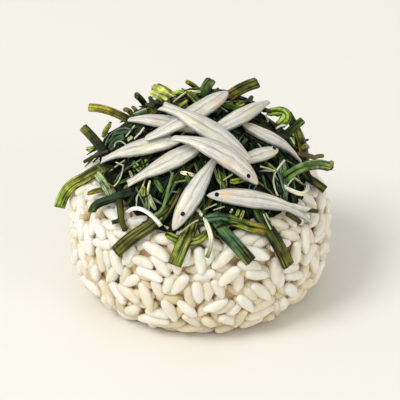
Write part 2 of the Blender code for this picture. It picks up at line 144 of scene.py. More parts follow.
def linear(red, green, blue):
    # a screen colour of 0 to 255 as the shader's own linear colour
    parts = [value / 255 for value in (red, green, blue)]
    return tuple(part / 12.92 if part <= 0.04045 else ((part + 0.055) / 1.055) ** 2.4 for part in parts)


def newMaterial(name, **sockets):
    material = bpy.data.materials.new(name)
    material.use_nodes = True
    shader = material.node_tree.nodes["Principled BSDF"]
    for socket, value in sockets.items():
        shader.inputs[socket.replace("_", " ")].default_value = value
    return material, material.node_tree, shader


def addNode(tree, kind, inputs=(), **settings):
    node = tree.nodes.new("ShaderNode" + kind)
    for key, value in settings.items():
        setattr(node, key, value)
    for socket, value in dict(inputs).items():
        if isinstance(value, bpy.types.NodeSocket):
            tree.links.new(value, node.inputs[socket])
        else:
            node.inputs[socket].default_value = value
    return node


def addRamp(tree, factor, stops):
    node = addNode(tree, "ValToRGB", {"Fac": factor})
    elements = node.color_ramp.elements
    node.color_ramp.interpolation = "LINEAR"
    while len(elements) < len(stops):
        elements.new(1)
    for element, (spot, colour) in zip(elements, stops):
        element.position = spot
        element.color = (*colour, 1) if len(colour) == 3 else colour
    return node.outputs["Color"]


def addNoise(tree, coordinates, scale, detail=2.0, roughness=0.5):
    return addNode(
        tree, "TexNoise", {"Vector": coordinates, "Scale": scale, "Detail": detail, "Roughness": roughness}
    ).outputs["Fac"]


def stretched(tree, coordinates, scale):
    return addNode(tree, "Mapping", {"Vector": coordinates, "Scale": scale}).outputs["Vector"]


def mixColours(tree, blend, factor, first, second):
    node = tree.nodes.new("ShaderNodeMix")
    node.data_type = "RGBA"
    node.blend_type = blend
    for socket, value in ((0, factor), (6, first), (7, second)):
        if isinstance(value, bpy.types.NodeSocket):
            tree.links.new(value, node.inputs[socket])
        else:
            node.inputs[socket].default_value = value
    return node.outputs[2]


def addBump(tree, shader, height, strength, distance, before=None):
    inputs = {"Height": height, "Strength": strength, "Distance": distance}
    if before:
        inputs["Normal"] = before
    bump = addNode(tree, "Bump", inputs)
    tree.links.new(bump.outputs["Normal"], shader.inputs["Normal"])
    return bump.outputs["Normal"]


def place(obj, slot, *nodes):
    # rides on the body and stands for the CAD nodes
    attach(obj, "root")
    if nodes:
        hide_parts(*nodes)


# The pressed rice

drum = {
    "height": 0.0317,
    "flatRadius": 0.0193,
    "shoulderRadius": 0.0125,
    "footSink": 0.0006,
    "bedInset": 0.0016,      # the bed lies this far under the drum's own surface
    "bedLift": 0.0003,       # and this far over the floor
    "bedSegments": 96,
    "bedRings": 48,
    "bedBump": 0.0005,
    "bedBumpSize": 0.0026,
}
shoulderZ = drum["height"] - drum["shoulderRadius"]
footZ = drum["shoulderRadius"] - drum["footSink"]
sideLength = shoulderZ - footZ

grains = {
    "width": 0.0030,
    "thickness": 0.0027,
    "spine": (-0.33, 0.0, 0.33),
    "lowest": -64.0,
    "highest": 34.0,
    "crest": 62.0,           # the loose grains go this much further up the shoulder
    "segments": 12,
    "rings": 8,
    "spineReach": 0.0027,    # no grain's spine goes further than this from its middle
    "footPaintedShade": 0.22,       # painted shade: how much darker the lowest grains are made, less so up to the height below
    "paintedShadeHeight": 0.022,
    "wobble": 7.0,           # degrees that a grain tips out of the surface
    "stretch": 1.04,
    "sizes": (0.92, 1.06),
    "floorLift": 0.0002,     # how far above the floor a pressed grain may end
    "toneSpread": 0.16,
}
# seed, count, tries, longest, shortest, spacing, depth under the surface, tone;
# the solids' own grains come first
# the lower tones of the deeper layers are painted shade for the gaps between the top grains
grainLayers = {
    "top": (11, 196, 700, 0.0078, 0.0048, 0.0031, 0.0, 0.84),
    "between": (23, 380, 200, 0.0068, 0.0042, 0.0018, 0.0005, 0.78),
    "under": (37, 470, 160, 0.0070, 0.0046, 0.0020, 0.0011, 0.50),
}
footGrains = {
    "seed": 51,
    "count": 130,
    "tries": 160,
    "length": 0.0070,
    "spacing": 0.0026,
    "radius": 0.0200,
    "rise": 0.0009,
    "tone": 0.62,
}


def drumPoint(bearing, run):
    # a point of the drum's side and its normal; run goes up from the foot's lowest angle
    radius = drum["shoulderRadius"]
    footArc = radius * math.radians(-grains["lowest"])
    if run < footArc:
        angle, middleZ = run / radius + math.radians(grains["lowest"]), footZ
    elif run < footArc + sideLength:
        angle, middleZ = 0.0, footZ + run - footArc
    else:
        angle, middleZ = (run - footArc - sideLength) / radius, shoulderZ
    outward = Vector((math.cos(bearing), math.sin(bearing), 0))
    normal = outward * math.cos(angle) + Vector((0, 0, math.sin(angle)))
    middle = outward * drum["flatRadius"] + Vector((0, 0, middleZ))
    return middle + normal * radius, normal


def isClear(spine, taken, spacing):
    near = taken[((taken - spine[1]) ** 2).sum(axis=1) < (spacing + grains["spineReach"]) ** 2]
    return not len(near) or ((near[:, None] - spine[None]) ** 2).sum(axis=2).min() > spacing**2


def layGrains(layer, taken):
    # places, axes and normals of one layer, each clear of the spines that are taken
    seed, count, tries, longest, shortest, spacing, depth, tone = grainLayers[layer]
    draw = random.Random(seed)
    highest = grains["highest"] if layer == "top" else grains["crest"]
    top = drum["shoulderRadius"] * math.radians(highest - grains["lowest"]) + sideLength
    ceiling = drumPoint(0, top)[0].z
    laid = []
    for number in range(count):
        length = longest + (shortest - longest) * number / (count - 1)
        for _ in range(tries):
            spot, normal = drumPoint(draw.uniform(-math.pi, math.pi), draw.uniform(0, top))
            turn = Matrix.Rotation(draw.uniform(0, math.pi), 3, normal)
            axis = turn @ normal.cross(Vector((0, 0, 1))).normalized()
            spine = np.array([spot + axis * length * part for part in grains["spine"]])
            if spine[:, 2].max() <= ceiling and isClear(spine, taken, spacing):
                taken = np.concatenate([taken, spine])
                laid.append((spot - normal * depth, axis, normal, length, tone))
                break
    return laid, taken


def layFootGrains():
    # grains pressed flat into the underside
    draw = random.Random(footGrains["seed"])
    taken, laid = np.zeros((0, 3)), []
    for _ in range(footGrains["count"]):
        for _ in range(footGrains["tries"]):
            reach = footGrains["radius"] * math.sqrt(draw.random())
            bearing, heading = draw.uniform(-math.pi, math.pi), draw.uniform(-math.pi, math.pi)
            spot = Vector((reach * math.cos(bearing), reach * math.sin(bearing), footGrains["rise"]))
            axis = Vector((math.cos(heading), math.sin(heading), 0))
            spine = np.array([spot + axis * footGrains["length"] * part for part in grains["spine"]])
            if isClear(spine, taken, footGrains["spacing"]):
                taken = np.concatenate([taken, spine])
                laid.append((spot, axis, Vector((0, 0, -1)), footGrains["length"], footGrains["tone"]))
                break
    return laid


def modelGrain(name, bend, plump, notch):
    # a long round grain, blunter than an egg, with the germ's dent at its upper end
    deselectAll()
    bpy.ops.mesh.primitive_uv_sphere_add(segments=grains["segments"], ring_count=grains["rings"], radius=0.5)
    grain = bpy.context.object
    grain.name = name
    bpy.ops.object.mode_set(mode="EDIT")
    selectVerts(grain, lambda co: 0.40 < abs(co.z) < 0.49)
    bpy.ops.transform.resize(value=(plump * 1.30, plump * 1.30, 1.0), center_override=(0, 0, 0))
    selectVerts(grain, lambda co: 0.25 < abs(co.z) < 0.40)
    bpy.ops.transform.resize(value=(plump * 1.08, plump * 1.08, 1.0), center_override=(0, 0, 0))
    selectVerts(grain, lambda co: 0.25 < co.z < 0.49 and co.x > 0.05)
    bpy.ops.transform.translate(value=(-notch, 0, -notch * 0.5))
    selectVerts(grain, lambda co: abs(co.z) > 0.3)
    bpy.ops.transform.translate(value=(0, bend * 0.6, 0))
    selectVerts(grain, lambda co: abs(co.z) > 0.42)
    bpy.ops.transform.translate(value=(0, bend * 0.6, 0))
    bpy.ops.object.mode_set(mode="OBJECT")
    return takeShape(grain)


def makeGrainPiece(name, laid, shapes, seed):
    draw = random.Random(seed)
    copies = []
    for spot, axis, normal, length, tone in laid:
        points, faces = shapes[draw.randrange(len(shapes))]
        tip = Matrix.Rotation(math.radians(draw.uniform(-1, 1) * grains["wobble"]), 3, axis.cross(normal))
        lengthwise, outward = tip @ axis, tip @ normal
        turn = np.array((outward.cross(lengthwise), outward, lengthwise))
        size = np.array((grains["width"], grains["thickness"], length * grains["stretch"]))
        size *= draw.uniform(*grains["sizes"])
        placed = (points * size) @ turn + np.array(spot)
        placed[:, 2] = np.maximum(placed[:, 2], draw.uniform(0, grains["floorLift"]))
        uv = np.stack([points[:, 2] + 0.5, points[:, 0] + 0.5], 1)
        # painted shade near the floor: the lower a grain lies, the darker its tone
        shaded = grains["footPaintedShade"] * max(0.0, 1 - spot[2] / grains["paintedShadeHeight"])
        spread = draw.uniform(-grains["toneSpread"], grains["toneSpread"])
        shade = min(1, max(0, tone - shaded + spread))
        copies.append((placed, faces, uv, {"tone": (shade, draw.random(), 0, 1)}))
    return joinCopies(name, copies)


def grainMaterial():
    material, tree, shader = newMaterial(
        "steamedRice", Roughness=0.42, Subsurface_Weight=0.35, Subsurface_Scale=0.0022, Coat_Weight=0.08,
        Coat_Roughness=0.3,
    )
    shader.inputs["Subsurface Radius"].default_value = (1.0, 0.8, 0.55)
    # tone: each grain's own tone, with painted shade for the lowest and the deeper grains
    tone = addNode(tree, "Attribute", attribute_name="tone")
    split = addNode(tree, "SeparateColor", {"Color": tone.outputs["Color"]})
    spots = addNode(tree, "TexCoord").outputs
    base = addRamp(
        tree, split.outputs["Red"],
        [(0.0, linear(214, 190, 148)), (0.45, linear(232, 216, 184)), (0.72, linear(242, 238, 226)),
         (1.0, linear(248, 247, 242))],
    )
    clouds = addNoise(tree, spots["Object"], 420, 3)
    cloudy = addRamp(tree, clouds, [(0.35, (0.92, 0.90, 0.82)), (0.62, (1.0, 1.0, 1.0))])
    streak = addNoise(tree, stretched(tree, spots["UV"], (1.6, 7, 1)), 1.0, 2)
    chalk = addRamp(tree, streak, [(0.4, (0.93, 0.91, 0.86)), (0.6, (1.0, 1.0, 1.0))])
    colour = mixColours(tree, "MULTIPLY", 1.0, base, cloudy)
    colour = mixColours(tree, "MULTIPLY", 0.7, colour, chalk)
    tree.links.new(colour, shader.inputs["Base Color"])
    addBump(tree, shader, addNoise(tree, spots["Object"], 1500, 3), 0.12, 0.0003)
    return material


def bedMaterial():
    # cooked rice's own cream, made a darker tan as painted shade for the gaps between grains, and darker
    # still towards each cell's edge as painted shade in the creases
    material, tree, shader = newMaterial(
        "riceBed", Roughness=0.55, Subsurface_Weight=0.1, Subsurface_Scale=0.001,
    )
    spots = addNode(tree, "TexCoord").outputs
    cells = addNode(tree, "TexVoronoi", {"Vector": spots["Object"], "Scale": 420}, feature="SMOOTH_F1")
    base = addRamp(
        tree, cells.outputs["Distance"],
        [(0.1, linear(236, 216, 178)), (0.5, linear(226, 200, 156)), (0.9, linear(208, 176, 126))],
    )
    patches = addNoise(tree, spots["Object"], 160, 3)
    warm = addRamp(tree, patches, [(0.35, (0.92, 0.84, 0.72)), (0.65, (1.0, 1.0, 1.0))])
    tree.links.new(mixColours(tree, "MULTIPLY", 1.0, base, warm), shader.inputs["Base Color"])
    addBump(tree, shader, cells.outputs["Distance"], 0.5, 0.0006)
    return material


def makeRiceBed():
    # a ball whose faces are moved out onto the drum, then roughened
    deselectAll()
    bpy.ops.mesh.primitive_uv_sphere_add(segments=drum["bedSegments"], ring_count=drum["bedRings"], radius=1)
    bed = bpy.context.object
    bed.name = "riceBed"
    radius = drum["shoulderRadius"] - drum["bedInset"]
    for vert in bed.data.vertices:
        way = vert.co.copy()
        flat = Vector((way.x, way.y, 0))
        outward = flat.normalized() * drum["flatRadius"] if flat.length > 0.001 else Vector()
        middleZ = shoulderZ if way.z > 0.001 else footZ if way.z < -0.001 else (shoulderZ + footZ) / 2
        spot = way * radius + outward + Vector((0, 0, middleZ))
        lump = noise.noise(spot / drum["bedBumpSize"]) * drum["bedBump"]
        spot += way * lump
        spot.z = max(spot.z, drum["bedLift"])
        vert.co = spot
    bed.data.shade_smooth()
    return bed


print("rice: bed and grains")
riceBed = makeRiceBed()
riceBed.data.materials.append(bedMaterial())
place(riceBed, "rice", "rice")

grainShapes = [
    modelGrain("grainStraight", 0.0, 1.00, 0.05),
    modelGrain("grainBent", 0.12, 1.00, 0.04),
    modelGrain("grainSlim", -0.09, 0.94, 0.06),
    modelGrain("grainBlunt", 0.05, 1.06, 0.08),
]
steamedRice = grainMaterial()
noSpines = np.zeros((0, 3))
topGrains, topSpines = layGrains("top", noSpines)
fillGrains, _ = layGrains("between", topSpines)
deepGrains, _ = layGrains("under", noSpines)
riceGrains = makeGrainPiece("riceGrains", topGrains + fillGrains, grainShapes, 3)
riceUnder = makeGrainPiece("riceGrainsUnder", deepGrains, grainShapes, 5)
riceFoot = makeGrainPiece("riceGrainsFoot", layFootGrains(), grainShapes, 7)
for piece in (riceGrains, riceUnder, riceFoot):
    piece.data.materials.append(steamedRice)
    place(piece, "rice", "rice")


# The heap's surface, which the greens and the fish lie on

mound = {
    "radius": 0.0290,
    "rise": 0.0198,
    "summitY": 0.0050,
    "power": 2.0,
    "extent": 1.6,
    "slopeStep": 0.00005,
    "hangGap": 0.0023,
}
# where the heap of loose greens ends: (bearing, reach)
heapEdge = (
    (-180, 0.0250), (-155, 0.0240), (-135, 0.0252), (-118, 0.0284), (-90, 0.0290),
    (-60, 0.0284), (-42, 0.0278), (-25, 0.0286), (0, 0.0266), (30, 0.0270),
    (90, 0.0284), (150, 0.0276), (165, 0.0270), (180, 0.0250),
)
hangRadius = drum["shoulderRadius"] + mound["hangGap"]
rimAngle = math.acos((mound["radius"] - drum["flatRadius"]) / hangRadius)
rimZ = shoulderZ + hangRadius * math.sin(rimAngle)


def moundZ(x, y):
    # level at its rim, highest at the summit behind the middle
    dx, dy = x, y - mound["summitY"]
    square = dx * dx + dy * dy
    if square == 0:
        return rimZ + mound["rise"]
    along = mound["summitY"] * dy
    stretch = math.sqrt(along * along + square * (mound["radius"] ** 2 - mound["summitY"] ** 2)) - along
    share = min(square / stretch, mound["extent"])
    return rimZ + mound["rise"] * (1 - share ** mound["power"])


def edgeReach(x, y):
    bearings, reaches = zip(*heapEdge)
    return float(np.interp(math.degrees(math.atan2(y, x)), bearings, reaches))


def moundNormal(x, y):
    step = mound["slopeStep"]
    slopeX = (moundZ(x + step, y) - moundZ(x - step, y)) / (2 * step)
    slopeY = (moundZ(x, y + step) - moundZ(x, y - step)) / (2 * step)
    return Vector((-slopeX, -slopeY, 1)).normalized()


def hang(x, y):
    # a point on the mound or, past its rim, down the side of the rice, with its normal
    reach = math.hypot(x, y)
    if reach <= mound["radius"]:
        return Vector((x, y, moundZ(x, y))), moundNormal(x, y)
    outward = Vector((x / reach, y / reach, 0))
    angle = rimAngle - (reach - mound["radius"]) / hangRadius
    normal = outward * math.cos(angle) + Vector((0, 0, math.sin(angle)))
    return outward * drum["flatRadius"] + Vector((0, 0, shoulderZ)) + normal * hangRadius, normal


# The fish, lowest first: tail (x, y), head (x, y), bow, tail lift, head lift, half depth, how deeply the
# tail is forked and how full it is

fishRows = (
    ((-0.0168, 0.0012), (0.0011, -0.0094), -0.0015, 0.0012, 0.0, 0.0021, 0.0, 0.8),
    ((-0.0238, -0.0050), (-0.0042, -0.0115), -0.0015, 0.0004, 0.0, 0.0026, 0.14, 0.0),
    ((0.0056, -0.0170), (0.0187, -0.0072), -0.0009, 0.0, 0.0003, 0.0019, 0.0, 0.0),
    ((0.0251, -0.0033), (0.0099, -0.0053), 0.0012, 0.0, 0.0003, 0.0022, 0.0, 0.0),
    ((-0.0174, -0.0163), (0.0010, -0.0126), -0.0015, 0.0, 0.0, 0.0026, 0.14, 0.0),
    ((0.0045, -0.0144), (-0.0062, -0.0283), 0.0004, 0.0005, 0.0, 0.0026, 0.0, 0.0),
    ((0.0264, -0.0172), (0.0017, -0.0229), 0.0012, 0.0018, 0.0, 0.0024, 1.0, 0.0),
    ((-0.0122, -0.0097), (0.0060, 0.0012), -0.0033, 0.0, 0.0031, 0.0026, 0.0, 1.0),
    ((0.0154, 0.0066), (0.0015, -0.0108), 0.0025, 0.0030, 0.0, 0.0022, 0.0, 0.0),
    ((-0.0080, -0.0041), (0.0115, -0.0149), -0.0017, 0.0, 0.0, 0.0029, 0.34, 0.0),
    ((-0.0058, -0.0126), (0.0126, -0.0195), 0.0, 0.0, 0.0, 0.0028, 0.0, 0.0),
)
fishForm = {
    "stations": (0, 0.06, 0.20, 0.40, 0.60, 0.80, 0.93, 1),
    "depths": (0.34, 0.30, 0.42, 0.80, 1.00, 0.85, 0.50, 0.12),
    "fullTail": (0.04, 0.14, 0.28, 0.10, 0.00, 0.00, 0.00, 0.00),
    "halfThickness": 0.00095,
    "thinEnd": 0.25,
    "sink": 0.0005,
    "gap": 0.00045,
    "stiffness": 0.024,
    "samples": 13,
    "forkFlare": 2.2,
    "forkLength": 0.24,
    "forkNotch": 0.24,
}


def profileValue(stations, values, share):
    index = min(max(bisect.bisect_right(stations, share) - 1, 0), len(stations) - 2)
    part = (share - stations[index]) / (stations[index + 1] - stations[index])
    return values[index] + (values[index + 1] - values[index]) * part


def fishDepth(row, share):
    halfDepth, fork, fullness = row[5:]
    flare = fishForm["forkFlare"] * fork * max(0.0, 1 - share / fishForm["forkLength"])
    depth = profileValue(fishForm["stations"], fishForm["depths"], share)
    depth += fullness * profileValue(fishForm["stations"], fishForm["fullTail"], share)
    return halfDepth * depth * (1 + flare)


def fishHalfThickness(share):
    depth = profileValue(fishForm["stations"], fishForm["depths"], share)
    return fishForm["halfThickness"] * min(1, depth + fishForm["thinEnd"])


def fishPath(row, pile):
    # a fish's middle line, pressed onto the mound and onto the fish below it
    tail, head, bow, tailLift, headLift = row[:5]
    tail, head = Vector(tail), Vector(head)
    sideways = Vector((tail.y - head.y, head.x - tail.x)).normalized()
    shares = [step / (fishForm["samples"] - 1) for step in range(fishForm["samples"])]
    places, needs, runs = [], [], []
    for share in shares:
        plan = tail.lerp(head, share) + sideways * bow * 4 * share * (1 - share)
        spot, normal = Vector((plan.x, plan.y, moundZ(*plan))), moundNormal(*plan)
        half = fishHalfThickness(share)
        need = half - fishForm["sink"]
        for point, _, depthBelow, halfBelow in pile:
            away = point - spot
            rise = away.dot(normal)
            beside = (away - normal * rise).length / (fishDepth(row, share) + depthBelow)
            if beside < 1:
                need = max(need, rise + (half + halfBelow) * math.sqrt(1 - beside**2) + fishForm["gap"])
        runs.append(runs[-1] + (spot - places[-1][0]).length if places else 0.0)
        places.append((spot, normal))
        needs.append(need)
    path = []
    for share, run, (spot, normal) in zip(shares, runs, places):
        height = max(
            need - (run - other) ** 2 / (2 * fishForm["stiffness"]) for need, other in zip(needs, runs)
        )
        height += tailLift * (1 - share) ** 2 + headLift * share**2
        path.append((spot + normal * height, normal))
    return path


def pathAt(path, share):
    position = min(max(share, 0), 1) * (len(path) - 1)
    index = min(int(position), len(path) - 2)
    part = position - index
    (spot, normal), (nextSpot, nextNormal) = path[index], path[index + 1]
    return spot.lerp(nextSpot, part), normal.lerp(nextNormal, part).normalized()


def layFish():
    paths, pile = [], []
    for row in fishRows:
        path = fishPath(row, pile)
        paths.append(path)
        for step in range(2 * fishForm["samples"] - 1):
            share = step / (2 * fishForm["samples"] - 2)
            spot, normal = pathAt(path, share)
            pile.append((spot, normal, fishDepth(row, share), fishHalfThickness(share)))
    return paths, pile


fishPaths, fishPile = layFish()
pilePoints = np.array([point for point, _, _, _ in fishPile])
pileDepths = np.array([depth for _, _, depth, _ in fishPile])
pileHalves = np.array([half for _, _, _, half in fishPile])


# The greens, with the front view that some of them are placed by

viewpoint = {
    "elevation": 30.0,
    "distance": 0.480,
    "aim": (0.000125, 0.0, 0.0224),
    "lens": 172.8,
    "sensor": 36.0,
}
shades = {
    "black": linear(28, 34, 22),
    "dark": linear(56, 62, 26),
    "deep": linear(38, 66, 40),
    "teal": linear(66, 98, 76),
    "mid": linear(72, 104, 42),
    "olive": linear(94, 96, 34),
    "moss": linear(118, 128, 54),
    "leaf": linear(120, 146, 88),
    "lime": linear(152, 178, 76),
    "bright": linear(192, 202, 110),
    "fresh": linear(152, 162, 66),
    "sage": linear(140, 164, 124),
    "pale": linear(204, 210, 176),
    "cream": linear(236, 236, 216),
    "white": linear(250, 250, 246),
    "brown": linear(104, 86, 34),
    "rust": linear(150, 134, 42),
    "grey": linear(100, 124, 104),
}
# kind, shade or shades from the tip, width, then points (bearing, reach, lift) from the free tip to the root
# the black towards some roots is painted shade where those strips go in under the heap
stalks = {
    "leftSweep": (
        "stalk", ("lime", "fresh", "olive"), 0.0028,
        ((-178, 0.0400, 0.0010), (-179, 0.0340, 0), (-164, 0.0235, 0)),
    ),
    "leftSpike": ("stalk", ("olive", "dark", "black"), 0.0023, ((160, 0.0265, 0.0055), (178, 0.0243, 0))),
    "leftBud": ("leaf", "lime", 0.0014, ((156, 0.0310, 0.0015), (160, 0.0260, 0))),
    "leftTwig": ("stem", "dark", 0.0011, ((173, 0.0285, 0.0005), (182, 0.0230, 0))),
    "backLeftArm": (
        "stalk", ("fresh", "rust", "dark"), 0.0020,
        ((154, 0.0245, 0.0080), (153, 0.0225, 0.0042), (152, 0.0206, 0)),
    ),
    "backLeftStub": ("stalk", ("olive", "deep", "black"), 0.0015, ((142, 0.0180, 0.0028), (128, 0.0220, 0))),
    "backLime": ("leaf", "bright", 0.0038, ((134, 0.0160, 0.0022), (150, 0.0078, 0.0002))),
    "backNub": ("stem", ("rust", "brown"), 0.0015, ((103, 0.0130, 0.0010), (88, 0.0180, 0))),
    "backPost": ("stalk", ("moss", "mid", "dark"), 0.0026, ((78, 0.0125, 0.0012), (80, 0.0040, 0))),
    "backRightArm": ("stalk", ("olive", "olive", "brown"), 0.0028, ((45, 0.0170, 0.0046), (40, 0.0090, 0))),
    "rightLime": ("leaf", "lime", 0.0028, ((46, 0.0240, 0.0005), (28, 0.0225, 0.0026), (20, 0.0210, 0))),
    "rightLimeLow": ("leaf", "lime", 0.0020, ((28, 0.0255, 0.0005), (8, 0.0240, 0))),
    "rightPost": (
        "stalk", ("dark", "moss", "olive", "brown"), 0.0029,
        ((30, 0.0235, 0.0030), (22, 0.0262, 0.0010), (4, 0.0270, 0)),
    ),
    "rightStub": ("stalk", ("mid", "dark"), 0.0019, ((27, 0.0255, 0.0044), (22, 0.0240, 0.0002))),
    "rightTwig": ("stem", ("olive", "brown"), 0.0014, ((18, 0.0320, 0.0020), (0, 0.0245, 0))),
    "rightHoop": (
        "stalk", ("fresh", "leaf", "leaf", "mid"), 0.0024,
        ((-2, 0.0300, 0.0044), (-9, 0.0268, 0.0030), (-34, 0.0242, 0.0016)),
    ),
    "rightDrop": (
        "stalk", ("olive", "dark", "black"), 0.0028,
        ((-10, 0.0320, 0.0004), (-6, 0.0235, -0.0008)),
    ),
    "rightHook": (
        "stem", ("cream", "cream", "white"), 0.0013,
        ((-37, 0.0250, 0), (-28, 0.0280, 0.0003), (-15, 0.0280, 0)),
    ),
    "rightFold": ("leaf", "grey", 0.0023, ((-26, 0.0215, 0.0008), (-41, 0.0275, 0.0014))),
    "leftGrey": ("leaf", "sage", 0.0020, ((-163, 0.0260, 0.0004), (-143, 0.0268, 0.0012))),
    "leftTongue": (
        "stalk", ("mid", "deep", "deep", "black"), 0.0021,
        ((-145, 0.0312, 0.0012), (-144, 0.0280, 0.0008), (-131, 0.0240, 0.0010)),
    ),
    "leftRod": ("stem", ("olive", "dark"), 0.0018, ((-125, 0.0314, 0.0002), (-138, 0.0268, 0))),
    "leftChip": ("stem", "dark", 0.0013, ((-133, 0.0310, 0.0002), (-130, 0.0292, 0))),
    "leftCurl": ("leaf", "rust", 0.0014, ((-158, 0.0292, 0.0004), (-148, 0.0255, 0))),
    "frontLeftStalk": (
        "stalk", ("olive", "olive", "dark"), 0.0031,
        ((-126, 0.0370, 0.0003), (-118, 0.0310, 0), (-106, 0.0250, 0)),
    ),
    "frontStem": (
        "stem", "white", 0.0011,
        ((-127, 0.0280, 0.0008), (-119, 0.0268, 0.0018), (-108, 0.0286, 0.0022)),
    ),
    "frontStalk": ("stalk", ("moss", "moss", "olive"), 0.0033, ((-100, 0.0370, 0.0003), (-92, 0.0255, 0))),
    "frontPale": (
        "stem", ("moss", "cream", "cream"), 0.0013,
        ((-87, 0.0350, 0.0003), (-85, 0.0295, 0), (-92, 0.0250, 0)),
    ),
    "frontLeaf": ("leaf", "moss", 0.0022, ((-106, 0.0298, 0.0002), (-94, 0.0312, 0), (-86, 0.0285, 0))),
    "frontArch": (
        "leaf", "teal", 0.0022,
        ((-98, 0.0292, 0.0008), (-89, 0.0270, 0.0018), (-75, 0.0272, 0.0020)),
    ),
    "frontBed": ("stalk", ("deep", "moss", "brown"), 0.0027, ((-78, 0.0270, 0), (-58, 0.0310, 0.0003))),
    "frontRightLeaf": (
        "stalk", ("moss", "teal", "mid"), 0.0030,
        ((-69, 0.0370, 0.0003), (-75, 0.0320, 0), (-83, 0.0260, 0)),
    ),
    "frontRightStalk": (
        "stalk", ("olive", "dark", "mid"), 0.0031,
        ((-52, 0.0408, 0.0003), (-56, 0.0335, 0), (-58, 0.0250, 0)),
    ),
    "rightDark": ("stem", "dark", 0.0014, ((-26, 0.0332, 0.0008), (-35, 0.0300, 0.0012))),
    "rightChip": ("stem", ("dark", "olive"), 0.0015, ((-39, 0.0326, 0.0010), (-43, 0.0290, 0.0013))),
    "backLeftStalk": ("stalk", "olive", 0.0028, ((122, 0.0365, 0.0004), (116, 0.0240, 0))),
    "backStalk": ("stalk", "dark", 0.0030, ((88, 0.0350, 0.0004), (94, 0.0235, 0))),
    "backRightStalk": ("stalk", "moss", 0.0026, ((60, 0.0370, 0.0004), (66, 0.0245, 0))),
    "backLeaf": ("leaf", "deep", 0.0024, ((104, 0.0330, 0.0003), (102, 0.0240, 0))),
    "backRightLeaf": ("leaf", "fresh", 0.0024, ((42, 0.0335, 0.0003), (50, 0.0240, 0))),
}
